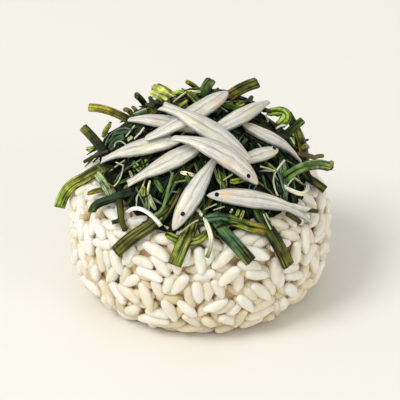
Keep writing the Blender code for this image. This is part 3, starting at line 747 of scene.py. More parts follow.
# the pieces in the heap that the front view shows: kind, shade, width and lift in millimetres, and points
# read off the photograph, in its pixels
photo = {"middle": (199.5, 200.0), "pixelsPerMillimetre": 4.0}
innerPieces = (
    ("leaf", "moss", 1.5, 0.6, ((110, 122), (106, 130), (102.5, 137))),
    ("stem", "grey", 0.4, 0.9, ((105, 146), (113, 132), (131, 129.5))),
    ("leaf", "teal", 2.0, 0.2, ((109, 150), (116, 142), (124, 136))),
    ("stem", "pale", 0.35, 0.6, ((114, 147), (118, 140), (125, 146))),
    ("leaf", "teal", 1.6, 0.2, ((112, 134), (121, 131), (131, 132))),
    ("stem", "pale", 0.45, 0.7, ((125.6, 137.2), (134.7, 125.6))),
    ("stem", "cream", 0.6, 0.8, ((132.6, 137.4), (141, 124.6))),
    ("leaf", "pale", 0.9, 0.8, ((127.2, 141), (132.4, 136.8))),
    ("leaf", "teal", 0.8, 0.8, ((134, 116), (146.5, 111))),
    ("stem", "pale", 0.35, 1.0, ((133, 114), (146, 108.8))),
    ("leaf", "pale", 0.7, 0.9, ((145.5, 117.5), (151, 111))),
    ("stem", "pale", 0.45, 1.4, ((172.8, 102.6), (185.5, 93.0))),
    ("leaf", "fresh", 0.8, 0.8, ((177.5, 107.5), (187.5, 100.4))),
    ("leaf", "lime", 1.0, 1.0, ((174, 93), (183, 91.5))),
    ("leaf", "pale", 0.9, 0.8, ((193, 93), (200, 91))),
    ("stem", "black", 1.3, 1.6, ((149.5, 98), (152, 101.5), (156, 106))),
    ("stem", "dark", 1.1, 1.0, ((146, 104), (152, 106.5), (158, 103))),
    ("stem", "brown", 1.4, 1.0, ((124.5, 109.5), (130, 112.5))),
    ("stem", "olive", 1.1, 1.0, ((132.5, 107), (136, 111.5))),
    ("stem", "black", 1.4, 1.6, ((251, 97.5), (248, 104))),
    ("stem", "black", 1.3, 1.0, ((269.5, 111.5), (263, 110))),
    ("leaf", "mid", 1.5, 0.6, ((222, 104), (231, 107.5), (240, 110))),
    ("stem", "pale", 0.35, 0.9, ((221, 108), (227, 112))),
    ("leaf", "fresh", 1.2, 0.8, ((236, 106), (244, 102.8))),
    ("stem", "pale", 0.5, 0.8, ((265, 115), (267.5, 121.5))),
    ("stem", "cream", 0.6, 0.9, ((276, 128.5), (285, 125.8))),
    ("leaf", "grey", 0.8, 0.5, ((243.4, 141.5), (250, 134.6))),
    ("stem", "dark", 0.8, 1.0, ((307.5, 139.6), (302, 141.5))),
    ("stem", "moss", 1.2, 0.9, ((307, 146.5), (303, 147))),
    ("stem", "pale", 0.45, 0.9, ((290, 137.5), (294, 144.5))),
    ("leaf", "leaf", 1.3, 0.3, ((128, 158), (135, 166), (142, 173))),
    ("leaf", "leaf", 0.9, 0.3, ((139.5, 158.5), (144, 169))),
    ("leaf", "fresh", 0.8, 0.5, ((142, 156), (144, 162.5))),
    ("leaf", "pale", 0.7, 0.4, ((126.4, 169), (129.6, 177.5))),
    ("leaf", "fresh", 1.3, 0.4, ((142.6, 186.4), (143.2, 196.5))),
    ("stem", "grey", 0.4, 0.9, ((135.4, 187.5), (146, 209.5))),
    ("leaf", "leaf", 1.4, 0.3, ((147, 197.5), (147.5, 211))),
    ("stem", "pale", 0.35, 0.5, ((136.8, 197.5), (136, 209.5))),
    ("leaf", "pale", 0.6, 0.8, ((150, 180.5), (148, 188), (147.6, 195))),
    ("leaf", "pale", 1.0, 0.9, ((148.6, 194.5), (151.5, 203), (155.6, 210))),
    ("stem", "leaf", 0.75, 1.2, ((172.2, 173), (167.5, 191), (162.6, 208))),
    ("stem", "leaf", 0.75, 1.2, ((162.8, 207.5), (158.5, 212.5), (152.4, 216.2))),
    ("leaf", "cream", 0.9, 0.9, ((178.8, 169.8), (195, 173))),
    ("stem", "leaf", 0.5, 0.5, ((174, 182.8), (185.3, 180.6))),
    ("leaf", "mid", 1.2, 0.4, ((154.8, 180), (162.6, 192.6))),
    ("stem", "grey", 0.4, 0.4, ((170, 191.6), (178, 192.4))),
    ("stem", "pale", 0.35, 1.0, ((115.4, 162.6), (123.2, 165.4))),
    ("stem", "pale", 0.35, 1.0, ((123.2, 165), (119.6, 178), (113.6, 186.8))),
    ("stem", "grey", 0.35, 1.0, ((96.6, 165.4), (104.4, 172.5))),
    ("leaf", "moss", 1.1, 0.6, ((123.4, 181.5), (117, 192))),
    ("leaf", "leaf", 0.9, 0.6, ((216.6, 175.6), (222, 181.5), (226.8, 189))),
    ("leaf", "teal", 1.0, 0.5, ((219.6, 168.6), (225.6, 178.4))),
    ("stem", "pale", 0.4, 0.9, ((222.8, 180.6), (232, 174.4))),
    ("leaf", "fresh", 1.3, 0.6, ((229.6, 182.2), (237, 181), (244.4, 179))),
    ("leaf", "olive", 1.0, 0.3, ((230.4, 186), (241.2, 187.8))),
    ("stem", "grey", 0.4, 0.4, ((249.6, 189), (251, 183))),
    ("stem", "grey", 0.4, 0.4, ((254, 189.4), (257.4, 184))),
    ("leaf", "teal", 0.9, 0.4, ((193, 212), (198, 205.6), (202.6, 199.6))),
    ("stem", "pale", 0.35, 0.6, ((204.6, 208.4), (217, 202.4))),
    ("stem", "pale", 0.35, 0.5, ((213.6, 209.2), (225, 205.2))),
    ("leaf", "pale", 0.5, 0.5, ((229.4, 213.2), (232, 208.8))),
    ("leaf", "fresh", 0.8, 0.6, ((235.6, 216), (238.8, 209.6))),
    ("leaf", "fresh", 0.8, 0.7, ((239.8, 219.6), (243, 210.4))),
    ("stem", "pale", 0.35, 0.8, ((178, 233.5), (188, 226), (198, 219.8))),
    ("stem", "leaf", 0.5, 0.8, ((157, 222.5), (162, 217.6))),
    ("stem", "cream", 0.5, 0.9, ((276.2, 170.6), (284, 160.6))),
    ("stem", "leaf", 0.5, 0.9, ((275.6, 170.6), (267.4, 163.6))),
    ("stem", "pale", 0.4, 0.9, ((275.6, 171), (259.5, 166.8))),
    ("stem", "pale", 0.45, 0.8, ((275.4, 171.6), (272.8, 182), (277, 196.5))),
    ("stem", "grey", 0.45, 0.8, ((276.6, 171.6), (281, 184), (284.4, 198))),
    ("stem", "teal", 0.6, 0.3, ((262, 176), (266, 190))),
    ("leaf", "mid", 1.2, 0.2, ((262, 213), (269, 229))),
    ("stem", "pale", 0.4, 0.5, ((262.6, 214), (270.4, 229.6))),
    ("stem", "pale", 0.4, 0.5, ((267, 211.6), (273, 226))),
    ("stem", "grey", 0.4, 0.5, ((286.4, 160.8), (294.4, 165.6))),
    ("stem", "pale", 0.4, 0.9, ((286.6, 186.6), (291, 180), (296.6, 174))),
    ("stem", "grey", 0.35, 0.4, ((292.4, 178), (294.4, 189))),
)
# how far a strip's flat face is turned from the heap towards the front
faceForward = {
    "leftSweep": 0.75, "leftSpike": 0.5, "leftBud": 0.8, "backLeftArm": 0.8, "backLime": 0.8, "backPost": 0.6,
    "backRightArm": 0.6, "backLeftStub": 0.6, "rightLime": 0.7, "rightLimeLow": 0.7, "rightPost": 0.5,
    "rightStub": 0.6, "rightHoop": 0.6, "rightDrop": 0.1, "leftGrey": 0.4, "leftTongue": 0.3,
    "rightTwig": 0.5,
}
innerFacing = 0.5
tilt = math.radians(viewpoint["elevation"])
frontWay = np.array((0.0, -math.cos(tilt), math.sin(tilt)))
strips = {"seed": 17, "curveSteps": 20, "wave": 0.22, "waves": 9, "twist": 8}
kinds = {
    "stalk": {"thickness": 0.0013, "steps": 12},
    "leaf": {"thickness": 0.0013, "steps": 14},
    "stem": {"thickness": 0.0, "steps": 14},
}
seek = {"from": 0.045, "step": 0.00025, "steps": 320}
press = {"clearance": 0.00025, "bend": 0.010, "deepest": 0.0030, "root": 0.0013, "rimFloor": -0.0004}
shreds = {
    "seed": 5,
    "count": 620,
    "lengths": (0.0050, 0.0135),
    "bow": 0.20,
    "widths": (0.0006, 0.0017),
    "thinWidths": (0.0003, 0.0006),
    "thickness": 0.0009,
    "lifts": (-0.0030, -0.0003),
    "backLifts": (-0.0028, -0.0008),
    "arch": (-0.0004, 0.0010),
    "raise": (0.0004, 0.0022),  # one end of some of them stands up
    "raised": 0.22,
    "overhang": 0.0012,      # the ends may pass the heap's edge by this much
    "backOverhang": 0.0040,  # and by this much behind the summit
    "stray": 0.06,           # the share that may pass it freely
    "downhill": 0.6,         # the share that lies down the slope, give or take the spread
    "spread": 45.0,
    "twist": 60.0,
    "steps": 8,
    # the many black shreds are painted shade for the dark gaps deep in the heap
    "palette": ("black", "black", "black", "black", "black", "black", "dark", "dark", "deep", "mid", "olive"),
    "thinPalette": ("pale", "grey", "leaf", "cream", "fresh", "moss"),
    "thinShare": 0.28,
}


def curvePoints(points, count):
    # (x, y, lift) along the quadratic curve through two or three points
    shares = np.linspace(0, 1, count + 1)[:, None]
    rows = np.array(points)
    if len(rows) == 2:
        return rows[0] + (rows[1] - rows[0]) * shares
    bend = rows[1] * 2 - (rows[0] + rows[2]) * 0.5
    return rows[0] * (1 - shares) ** 2 + bend * 2 * shares * (1 - shares) + rows[2] * shares**2


def overHeap(spot):
    # how far a point is from the heap's surface, and the surface's normal there
    reach = math.hypot(spot[0], spot[1])
    if reach <= mound["radius"]:
        normal = np.array(moundNormal(spot[0], spot[1]))
        return (spot[2] - moundZ(spot[0], spot[1])) * normal[2], normal
    beyond, over = reach - drum["flatRadius"], spot[2] - shoulderZ
    far = math.hypot(beyond, over)
    return far - hangRadius, np.array((spot[0] / reach * beyond, spot[1] / reach * beyond, over)) / far


def fromMiddle(x, y):
    # how far a pixel is across and up from the photograph's middle, to a tenth of a millimetre
    across = (x - photo["middle"][0]) / photo["pixelsPerMillimetre"]
    up = (photo["middle"][1] - y) / photo["pixelsPerMillimetre"]
    return round(across, 1), round(up, 1)


def seenSpot(across, up, lift):
    # (x, y, lift) of the first place on the heap that the front view meets there, or else of the nearest one
    upward = np.array((0.0, frontWay[2], -frontWay[1]))
    aim = np.array(viewpoint["aim"])
    spot = aim + np.array((across, 0, 0)) / 1000 + upward * up / 1000
    away = aim + frontWay * viewpoint["distance"] - spot
    away /= np.linalg.norm(away)
    nearest = (1.0, spot, frontWay)
    for step in range(seek["steps"]):
        point = spot + away * (seek["from"] - step * seek["step"])
        height, normal = overHeap(point)
        if height < nearest[0]:
            nearest = (height, point, normal)
        if height <= lift:
            break
    height, point, normal = nearest
    base = point - normal * height
    reach = math.hypot(base[0], base[1])
    if reach > mound["radius"]:
        angle = math.atan2(base[2] - shoulderZ, reach - drum["flatRadius"])
        run = mound["radius"] + hangRadius * (rimAngle - angle)
        base = base * run / reach
    return base[0], base[1], max(height, lift)


def stripPath(plan, width, thickness):
    # places and normals of a strip over the heap, pressed down where a fish lies on it
    spots, normals = (np.array(rows) for rows in zip(*(hang(x, y) for x, y, _ in plan)))
    lifts = plan[:, 2].copy()
    away = pilePoints[None] - spots[:, None]
    rise = np.einsum("ijk,ik->ij", away, normals)
    beside = np.linalg.norm(away - rise[..., None] * normals[:, None], axis=2)
    room = rise - pileHalves - thickness / 2 - press["clearance"]
    room[beside > pileDepths + width / 2 + press["clearance"]] = 1.0
    room = room.min(axis=1)
    runs = np.concatenate([[0], np.cumsum(np.linalg.norm(np.diff(spots, axis=0), axis=1))])
    eased = (room[None] + (runs[:, None] - runs[None]) ** 2 / (2 * press["bend"])).min(axis=1)
    lifts = np.maximum(np.minimum(lifts, eased), -press["deepest"])
    past = np.hypot(plan[:, 0], plan[:, 1]) > mound["radius"]
    lifts[past] = np.maximum(lifts[past], press["rimFloor"])
    return spots + normals * lifts[:, None], normals


def layAlong(points, path, normals, width, thickness, twist=(0.0, 0.0)):
    # the pattern's x runs along the path, its y across it and its z out of the heap
    position = np.clip(points[:, 0], 0, 1) * (len(path) - 1)
    index = np.minimum(position.astype(int), len(path) - 2)
    part = (position - index)[:, None]
    ahead = np.gradient(path, axis=0)
    spot = path[index] * (1 - part) + path[index + 1] * part
    forward = ahead[index] * (1 - part) + ahead[index + 1] * part
    forward /= np.linalg.norm(forward, axis=1)[:, None]
    out = normals[index] * (1 - part) + normals[index + 1] * part
    across = np.cross(out, forward)
    across /= np.linalg.norm(across, axis=1)[:, None]
    out = np.cross(forward, across)
    angle = np.radians(twist[0] * (1 - points[:, 0]) + twist[1] * points[:, 0])[:, None]
    side = across * np.cos(angle) + out * np.sin(angle)
    top = out * np.cos(angle) - across * np.sin(angle)
    return spot + side * points[:, 1:2] * width + top * points[:, 2:3] * thickness


def turnForward(path, normals, share):
    # normals swung round the path's own direction towards the front
    if share == 0:
        return normals
    ahead = np.gradient(path, axis=0)
    ahead /= np.linalg.norm(ahead, axis=1)[:, None]
    turned = []
    for way, normal in zip(ahead, normals):
        front = frontWay - way * frontWay.dot(way)
        flat = normal - way * normal.dot(way)
        front, flat = front / np.linalg.norm(front), flat / np.linalg.norm(flat)
        mixed = flat * (1 - share) + front * share
        turned.append(mixed / np.linalg.norm(mixed))
    return np.array(turned)


def modelStalk():
    # a flat cut stalk: a rounded bar, ribbed along its faces, with hollow cut ends
    deselectAll()
    bpy.ops.mesh.primitive_cube_add(size=1, location=(0.5, 0, 0))
    stalk = bpy.context.object
    finishPlace(stalk)
    bpy.ops.object.mode_set(mode="EDIT")
    for y in (-0.3, -0.18, -0.06, 0.06, 0.18, 0.3):
        bpy.ops.mesh.select_all(action="SELECT")
        bpy.ops.mesh.bisect(plane_co=(0, y, 0), plane_no=(0, 1, 0))
    steps = kinds["stalk"]["steps"]
    for step in range(1, steps):
        bpy.ops.mesh.select_all(action="SELECT")
        bpy.ops.mesh.bisect(plane_co=(step / steps, 0, 0), plane_no=(1, 0, 0))
    selectVerts(stalk, lambda co: abs(co.y) > 0.4)
    bpy.ops.transform.resize(value=(1, 1, 0.5), center_override=(0.5, 0, 0))
    selectVerts(stalk, lambda co: min(abs(abs(co.y) - 0.06), abs(abs(co.y) - 0.3)) < 0.01)
    bpy.ops.transform.resize(value=(1, 1, 0.84), center_override=(0.5, 0, 0))
    for end in (0, 1):
        selectFaces(stalk, lambda middle, normal: abs(middle.x - end) < 0.01 and abs(normal.x) > 0.9)
        bpy.ops.mesh.inset(thickness=0.10, use_boundary=True)
        bpy.ops.transform.translate(value=(0.03 if end == 0 else -0.03, 0, 0))
    bpy.ops.mesh.select_all(action="SELECT")
    bpy.ops.mesh.normals_make_consistent(inside=False)
    bpy.ops.object.mode_set(mode="OBJECT")
    return takeShape(stalk)


def modelBlade(name, along, across, fold, wall, tipLength):
    # a creased blade: a grid folded down its middle, drawn in towards its tips, then given its wall
    deselectAll()
    bpy.ops.mesh.primitive_grid_add(x_subdivisions=along, y_subdivisions=across, size=1, location=(0.5, 0, 0))
    blade = bpy.context.object
    blade.name = name
    finishPlace(blade)
    bpy.ops.object.mode_set(mode="EDIT")
    selectVerts(blade, lambda co: abs(co.y) < 0.01)
    bpy.ops.transform.translate(value=(0, 0, -fold))
    for end in (0, 1):
        selectVerts(blade, lambda co: abs(co.x - end) < 0.01)
        bpy.ops.transform.resize(value=(1, 0.35, 0.35), center_override=(end, 0, 0))
        selectVerts(blade, lambda co: 0.01 < abs(co.x - end) < tipLength)
        bpy.ops.transform.resize(value=(1, 0.78, 0.8), center_override=(end, 0, 0))
    bpy.ops.object.mode_set(mode="OBJECT")
    applyModifier(blade, "SOLIDIFY", thickness=wall, offset=0)
    return takeShape(blade)


def modelStem():
    # a thin round stem, a little narrower to its tip
    steps = kinds["stem"]["steps"]
    stations = []
    for step in range(steps + 1):
        radius = 0.5 * (0.8 + 0.2 * step / steps)
        stations.append((step / steps, radius, radius))
    stem = drawTube("stem", 10, stations)
    bpy.ops.object.mode_set(mode="EDIT")
    for end in (0, 1):
        selectFaces(stem, lambda middle, normal: abs(middle.x - end) < 0.01 and abs(normal.x) > 0.9)
        bpy.ops.mesh.inset(thickness=0.14)
        bpy.ops.transform.translate(value=(0.02 if end == 0 else -0.02, 0, 0))
    bpy.ops.object.mode_set(mode="OBJECT")
    return takeShape(stem)


def stripUv(points, seedShift):
    return np.stack([points[:, 0] + seedShift, points[:, 1] + 0.5], 1)


def shredEnds(draw):
    # a short bowed run somewhere on the heap, most of them down its slope and inside its edge
    while True:
        bearing, share = draw.uniform(-math.pi, math.pi), math.sqrt(draw.random())
        outward = np.array((math.cos(bearing), math.sin(bearing)))
        reach = edgeReach(*outward) * share
        heading = draw.uniform(-math.pi, math.pi)
        if draw.random() < shreds["downhill"]:
            heading = bearing + math.radians(draw.uniform(-1, 1) * shreds["spread"])
        half = draw.uniform(*shreds["lengths"]) / 2
        lift = draw.uniform(*shreds["backLifts" if outward[1] * reach > mound["summitY"] else "lifts"])
        middle = np.array((*outward * reach, lift))
        step = np.array((math.cos(heading) * half, math.sin(heading) * half, 0))
        sideways = np.array((-math.sin(heading), math.cos(heading), 0))
        side = sideways * draw.uniform(-1, 1) * shreds["bow"] * half
        ends = [middle - step, middle + side + (0, 0, draw.uniform(*shreds["arch"])), middle + step]
        if draw.random() < shreds["raised"]:
            outer = 0 if np.hypot(*ends[0][:2]) > np.hypot(*ends[2][:2]) else 2
            ends[outer] = ends[outer] + (0, 0, draw.uniform(*shreds["raise"]))
        free = draw.random() < shreds["stray"]
        spare = shreds["backOverhang" if middle[1] > mound["summitY"] else "overhang"]
        if free or all(math.hypot(*end[:2]) < edgeReach(*end[:2]) + spare for end in ends):
            return ends


def shadesAlong(names, shares):
    # the colour at each share of a strip's length, from its tip's shade to its root's
    names = (names,) if isinstance(names, str) else names
    stops = np.linspace(0, 1, len(names))
    columns = [np.interp(shares, stops, [shades[name][part] for name in names]) for part in range(3)]
    return np.stack([*columns, np.ones(len(shares))], 1)


def makeGreens():
    patterns = {
        "stalk": modelStalk(),
        "leaf": modelBlade("leaf", 14, 4, 0.35, 0.22, 0.2),
        "stem": modelStem(),
        "shred": modelBlade("shred", 6, 2, 0.4, 0.3, 0.25),
    }
    draw = random.Random(strips["seed"])
    copies = {kind: [] for kind in patterns}
    laid = []
    for name, (kind, shade, width, rows) in stalks.items():
        plan = []
        for bearing, reach, lift in rows:
            angle = math.radians(bearing)
            plan.append((reach * math.cos(angle), reach * math.sin(angle), lift))
        plan[-1] = (*plan[-1][:2], plan[-1][2] - press["root"])
        laid.append((kind, shade, width, faceForward.get(name, 0), plan))
    for kind, shade, width, lift, points in innerPieces:
        plan = [seenSpot(*fromMiddle(*pixel), lift / 1000) for pixel in points]
        laid.append((kind, shade, width / 1000, innerFacing, plan))
    for kind, shade, width, facing, plan in laid:
        thickness = kinds[kind]["thickness"] or width
        thickness = min(thickness, width)
        path, normals = stripPath(curvePoints(plan, strips["curveSteps"]), width, thickness)
        normals = turnForward(path, normals, facing)
        points, faces = patterns[kind]
        bent = points.copy()
        if kind == "leaf":
            wave = np.sin(points[:, 0] * strips["waves"] + draw.uniform(0, 6))
            bent[:, 2] += strips["wave"] * wave * np.abs(points[:, 1])
        twist = [draw.uniform(-strips["twist"], strips["twist"]) for _ in range(2)]
        placed = layAlong(bent, path, normals, width, thickness, twist)
        mark = {"shade": shadesAlong(shade, points[:, 0])}
        copies[kind].append((placed, faces, stripUv(points, draw.random() * 9), mark))
    draw = random.Random(shreds["seed"])
    for _ in range(shreds["count"]):
        ends = shredEnds(draw)
        thin = draw.random() < shreds["thinShare"]
        width = draw.uniform(*shreds["thinWidths" if thin else "widths"])
        palette = shreds["thinPalette" if thin else "palette"]
        path, normals = stripPath(curvePoints(ends, shreds["steps"]), width, shreds["thickness"])
        points, faces = patterns["shred"]
        twist = (draw.uniform(-1, 1) * shreds["twist"], draw.uniform(-1, 1) * shreds["twist"])
        placed = layAlong(points, path, normals, width, shreds["thickness"], twist)
        tone = (*shades[draw.choice(palette)], 1)
        copies["shred"].append((placed, faces, stripUv(points, draw.random() * 9), {"shade": tone}))
    names = {"stalk": "greenStalks", "leaf": "greenLeaves", "stem": "greenStems", "shred": "greenShreds"}
    return {kind: joinCopies(names[kind], rows) for kind, rows in copies.items()}


def greenMaterial(name, fibres, streaking, depth, gloss):
    # the shade of each strip, with darker fibres along it, worn patches, a painted highlight in a pale band
    # just inside each edge and the very edges darker
    material, tree, shader = newMaterial(name, Roughness=gloss, Coat_Weight=0.06, Coat_Roughness=0.3)
    shader.inputs["Specular IOR Level"].default_value = 0.14
    shade = addNode(tree, "Attribute", attribute_name="shade").outputs["Color"]
    spots = addNode(tree, "TexCoord").outputs
    lines = addNoise(tree, stretched(tree, spots["UV"], (1.3, fibres, 1)), 1.0, 4, 0.62)
    dark = addRamp(
        tree, lines,
        [(0.40, (0.08, 0.09, 0.06)), (0.46, (0.45, 0.47, 0.37)), (0.52, (1.05, 1.05, 0.98)),
         (0.60, (1.6, 1.55, 1.35))],
    )
    patches = addNoise(tree, spots["Object"], 360, 4, 0.6)
    worn = addRamp(
        tree, patches,
        [(0.38, (0.34, 0.38, 0.30)), (0.50, (0.95, 0.95, 0.9)), (0.64, (1.6, 1.5, 1.2))],
    )
    across = addNode(tree, "SeparateXYZ", {"Vector": spots["UV"]}).outputs["Y"]
    # painted highlight: a pale band just inside each edge; the very edges are darker
    rim = addRamp(
        tree, across,
        [(0.0, (0.35, 0.36, 0.25)), (0.05, (0.5, 0.5, 0.4)), (0.09, (1.5, 1.5, 1.3)), (0.16, (1.0, 1.0, 1.0)),
         (0.84, (1.0, 1.0, 1.0)), (0.91, (1.5, 1.5, 1.3)), (0.95, (0.5, 0.5, 0.4)),
         (1.0, (0.35, 0.36, 0.25))],
    )
    colour = mixColours(tree, "MULTIPLY", streaking, shade, dark)
    colour = mixColours(tree, "MULTIPLY", streaking * 0.9, colour, worn)
    colour = mixColours(tree, "MULTIPLY", 0.8, colour, rim)
    tree.links.new(colour, shader.inputs["Base Color"])
    addBump(tree, shader, lines, 0.6, depth)
    return material


def coreMaterial():
    # the packed greens' own dark green, taken nearly to black as painted shade for the depths of the heap
    material, tree, shader = newMaterial("packedGreensAndPaintedShade", Roughness=0.75)
    shader.inputs["Specular IOR Level"].default_value = 0.08
    spots = addNode(tree, "TexCoord").outputs
    weave = addNoise(tree, stretched(tree, spots["Object"], (1, 2.2, 1)), 520, 4)
    base = addRamp(
        tree, weave,
        [(0.40, linear(9, 12, 8)), (0.54, linear(18, 25, 14)), (0.68, linear(40, 54, 24))],
    )
    tree.links.new(base, shader.inputs["Base Color"])
    addBump(tree, shader, weave, 0.9, 0.0008)
    return material


greensCore = {
    "inset": 0.0030,
    "edgeInset": 0.0010,
    "gap": 0.0003,
    "segments": 96,
    "rings": 48,
    "lump": 0.0008,
    "lumpSize": 0.0030,
}


def makeGreensBed():
    # a ball whose two halves are moved onto the rice and up under the mound's surface
    deselectAll()
    bpy.ops.mesh.primitive_uv_sphere_add(
        segments=greensCore["segments"], ring_count=greensCore["rings"], radius=1,
    )
    bed = bpy.context.object
    bed.name = "greenBed"
    for vert in bed.data.vertices:
        radius = edgeReach(vert.co.x, vert.co.y) - greensCore["edgeInset"]
        x, y = vert.co.x * radius, vert.co.y * radius
        beyond = max(math.hypot(x, y) - drum["flatRadius"], 0)
        low = shoulderZ + math.sqrt((drum["shoulderRadius"] + greensCore["gap"]) ** 2 - beyond**2)
        lump = noise.noise(Vector((x, y, 0)) / greensCore["lumpSize"]) * greensCore["lump"]
        high = moundZ(x, y) - greensCore["inset"] + lump
        share = 0.5 if abs(vert.co.z) < 0.01 else float(vert.co.z > 0)
        vert.co = Vector((x, y, low + (high - low) * share))
    bed.data.shade_smooth()
    return bed


print("greens: bed, stalks, leaves, stems and shreds")
greenBed = makeGreensBed()
greenBed.data.materials.append(coreMaterial())
place(greenBed, "greens", "greens")
greenPieces = makeGreens()
finishes = {
    "stalk": greenMaterial("cutStalk", 7, 1.0, 0.0004, 0.50),
    "leaf": greenMaterial("greenLeaf", 5, 0.9, 0.0003, 0.50),
    "stem": greenMaterial("paleStem", 4, 0.4, 0.0002, 0.48),
    "shred": greenMaterial("greenShred", 4, 0.9, 0.0003, 0.50),
}
for kind, piece in greenPieces.items():
    piece.data.materials.append(finishes[kind])
    place(piece, "greens", "greens")


# Each fish's body, drawn once and laid along its own path

body = {
    "sides": 24,
    "steps": 40,
    "window": 0.035,                # how far the profile is eased to each side
    "finShares": (0, 0.05, 0.16),   # the tail fin is thin
    "finThickness": (0.35, 0.5, 1.0),
    "noseFrom": 0.975,
    "noseLength": 0.025,
    "tailLength": 0.03,
    "pathSteps": 49,
    "pathPasses": 6,
}
# the gill cover stands a little proud of the body, with a groove behind it
gillCover = {
    "rise": 0.10,
    "at": 0.86,
    "reach": 0.055,
    "groove": 0.07,
    "grooveAt": 0.775,
    "grooveReach": 0.012,
}
blushReach = {"side": 0.5, "across": 0.75}
# by fish: where the eye is (share, side), the faces that have one, and blushes (share, side, reach, strength,
# colour); a blush with no side goes right across the body
fishMarks = (
    {"eye": (0.90, 0.2), "faces": (1, -1), "blush": ()},
    {"eye": (0.90, 0.2), "faces": (-1,), "blush": ((0.60, -0.3, 0.10, 0.4, "yellow"),)},
    {
        "eye": (0.87, 0.3), "faces": (1, -1),
        "blush": ((0.90, 0.0, 0.10, 0.5, "snout"), (0.78, -0.5, 0.06, 0.6, "yellow")),
    },
    {"eye": (0.88, 0.2), "faces": (-1,), "blush": ((0.92, 0.0, 0.08, 0.6, "brown"),)},
    {"eye": (0.90, 0.2), "faces": (1, -1), "blush": ((0.55, 0.4, 0.12, 0.4, "yellow"),)},
    {
        "eye": (0.82, 0.2), "faces": (1, -1),
        "blush": ((0.97, 0.0, 0.10, 0.8, "snout"), (0.80, -0.4, 0.05, 0.5, "yellow")),
    },
    {"eye": (0.91, 0.0), "faces": (1, -1), "blush": ((0.82, None, 0.048, 0.75, "gill"),)},
    {"eye": (0.90, 0.1), "faces": (-1,), "blush": ((0.78, -0.5, 0.07, 0.7, "pink"),)},
    {"eye": (0.90, 0.2), "faces": (1, -1), "blush": ((0.45, 0.3, 0.14, 0.4, "yellow"),)},
    {"eye": (0.90, 0.2), "faces": (-1,), "blush": ((0.36, -0.3, 0.10, 0.4, "yellow"),)},
    {
        "eye": (0.87, -0.5), "faces": (1, -1),
        "blush": ((0.66, -0.6, 0.06, 0.6, "pink"), (0.97, 0.0, 0.08, 0.8, "snout")),
    },
)
blushColours = {
    "pink": linear(214, 176, 156),
    "snout": linear(218, 190, 164),
    "gill": linear(228, 202, 160),
    "yellow": linear(214, 210, 148),
    "brown": linear(172, 156, 126),
}
eyeForm = {"radius": 0.00066, "bulge": 0.00022, "pupil": 0.78, "segments": 20, "rings": 10}


def modelBody():
    # an even tube from tail to snout, to which fishPoints gives its form
    stations = [(step / body["steps"], 1.0, 1.0) for step in range(body["steps"] + 1)]
    shape = drawTube("fishBody", body["sides"], stations)
    return takeShape(shape)


def smoothValue(stations, values, shares):
    # the same profile as the solids', eased between its stations
    here = np.interp(shares, stations, values)
    behind = np.interp(shares - body["window"], stations, values)
    ahead = np.interp(shares + body["window"], stations, values)
    return (here + behind + ahead) / 3


def fishPoints(points, row, path):
    shares = np.clip(points[:, 0], 0, 1)
    depth = smoothValue(fishForm["stations"], fishForm["depths"], shares)
    thick = fishForm["halfThickness"] * np.minimum(1, depth + fishForm["thinEnd"])
    halfDepth, fork, fullness = row[5:]
    forked = np.maximum(0, 1 - shares / fishForm["forkLength"])
    flare = fishForm["forkFlare"] * fork * forked
    full = fullness * smoothValue(fishForm["stations"], fishForm["fullTail"], shares)
    wide = halfDepth * (depth + full) * (1 + flare)
    thick = thick * np.interp(shares, body["finShares"], body["finThickness"])
    proud = gillCover["rise"] * np.exp(-(((shares - gillCover["at"]) / gillCover["reach"]) ** 2))
    grooved = np.exp(-(((shares - gillCover["grooveAt"]) / gillCover["grooveReach"]) ** 2))
    thick = thick * (1 + (proud - gillCover["groove"] * grooved))
    nose = ((shares - body["noseFrom"]) / body["noseLength"]).clip(0, 1)
    ends = np.sqrt(np.clip(1 - nose**2, 0.02, 1))
    if fork == 0:
        tail = (1 - shares / body["tailLength"]).clip(0, 1)
        ends = ends * np.sqrt(np.clip(1 - tail**2, 0.05, 1))
    side, out = points[:, 1], points[:, 2]
    girth = np.maximum(np.hypot(side, out), 1e-6)
    side, out = side / girth, out / girth
    notch = fishForm["forkNotch"] * fork * forked * (1 - np.abs(side))
    inner = np.clip(girth, 0, 1)
    places, normals = (np.array(rows) for rows in zip(*path))
    position = np.clip(shares + notch, 0, 1) * (len(path) - 1)
    knots = np.arange(len(path))
    spot = np.stack([np.interp(position, knots, places[:, axis]) for axis in range(3)], 1)
    ahead = np.gradient(places, axis=0)
    forward = np.stack([np.interp(position, knots, ahead[:, axis]) for axis in range(3)], 1)
    forward /= np.linalg.norm(forward, axis=1)[:, None]
    up = np.stack([np.interp(position, knots, normals[:, axis]) for axis in range(3)], 1)
    across = np.cross(up, forward)
    across /= np.linalg.norm(across, axis=1)[:, None]
    up = np.cross(forward, across)
    placed = spot + across * (side * inner * wide * ends)[:, None]
    placed += up * (out * inner * thick * ends)[:, None]
    return placed, np.stack([shares, side * inner * 0.5 + 0.5], 1), (spot, across, up, wide, thick)


def easePath(path):
    # the solids' path with its kinks rounded off
    rows = np.array([[*spot, *normal] for spot, normal in path])
    knots = np.linspace(0, 1, len(rows))
    fine = np.linspace(0, 1, body["pathSteps"])
    smooth = np.stack([np.interp(fine, knots, rows[:, axis]) for axis in range(6)], 1)
    for _ in range(body["pathPasses"]):
        smooth[1:-1] = (smooth[:-2] + smooth[1:-1] * 2 + smooth[2:]) / 4
    return [(Vector(row[:3]), Vector(row[3:]).normalized()) for row in smooth]


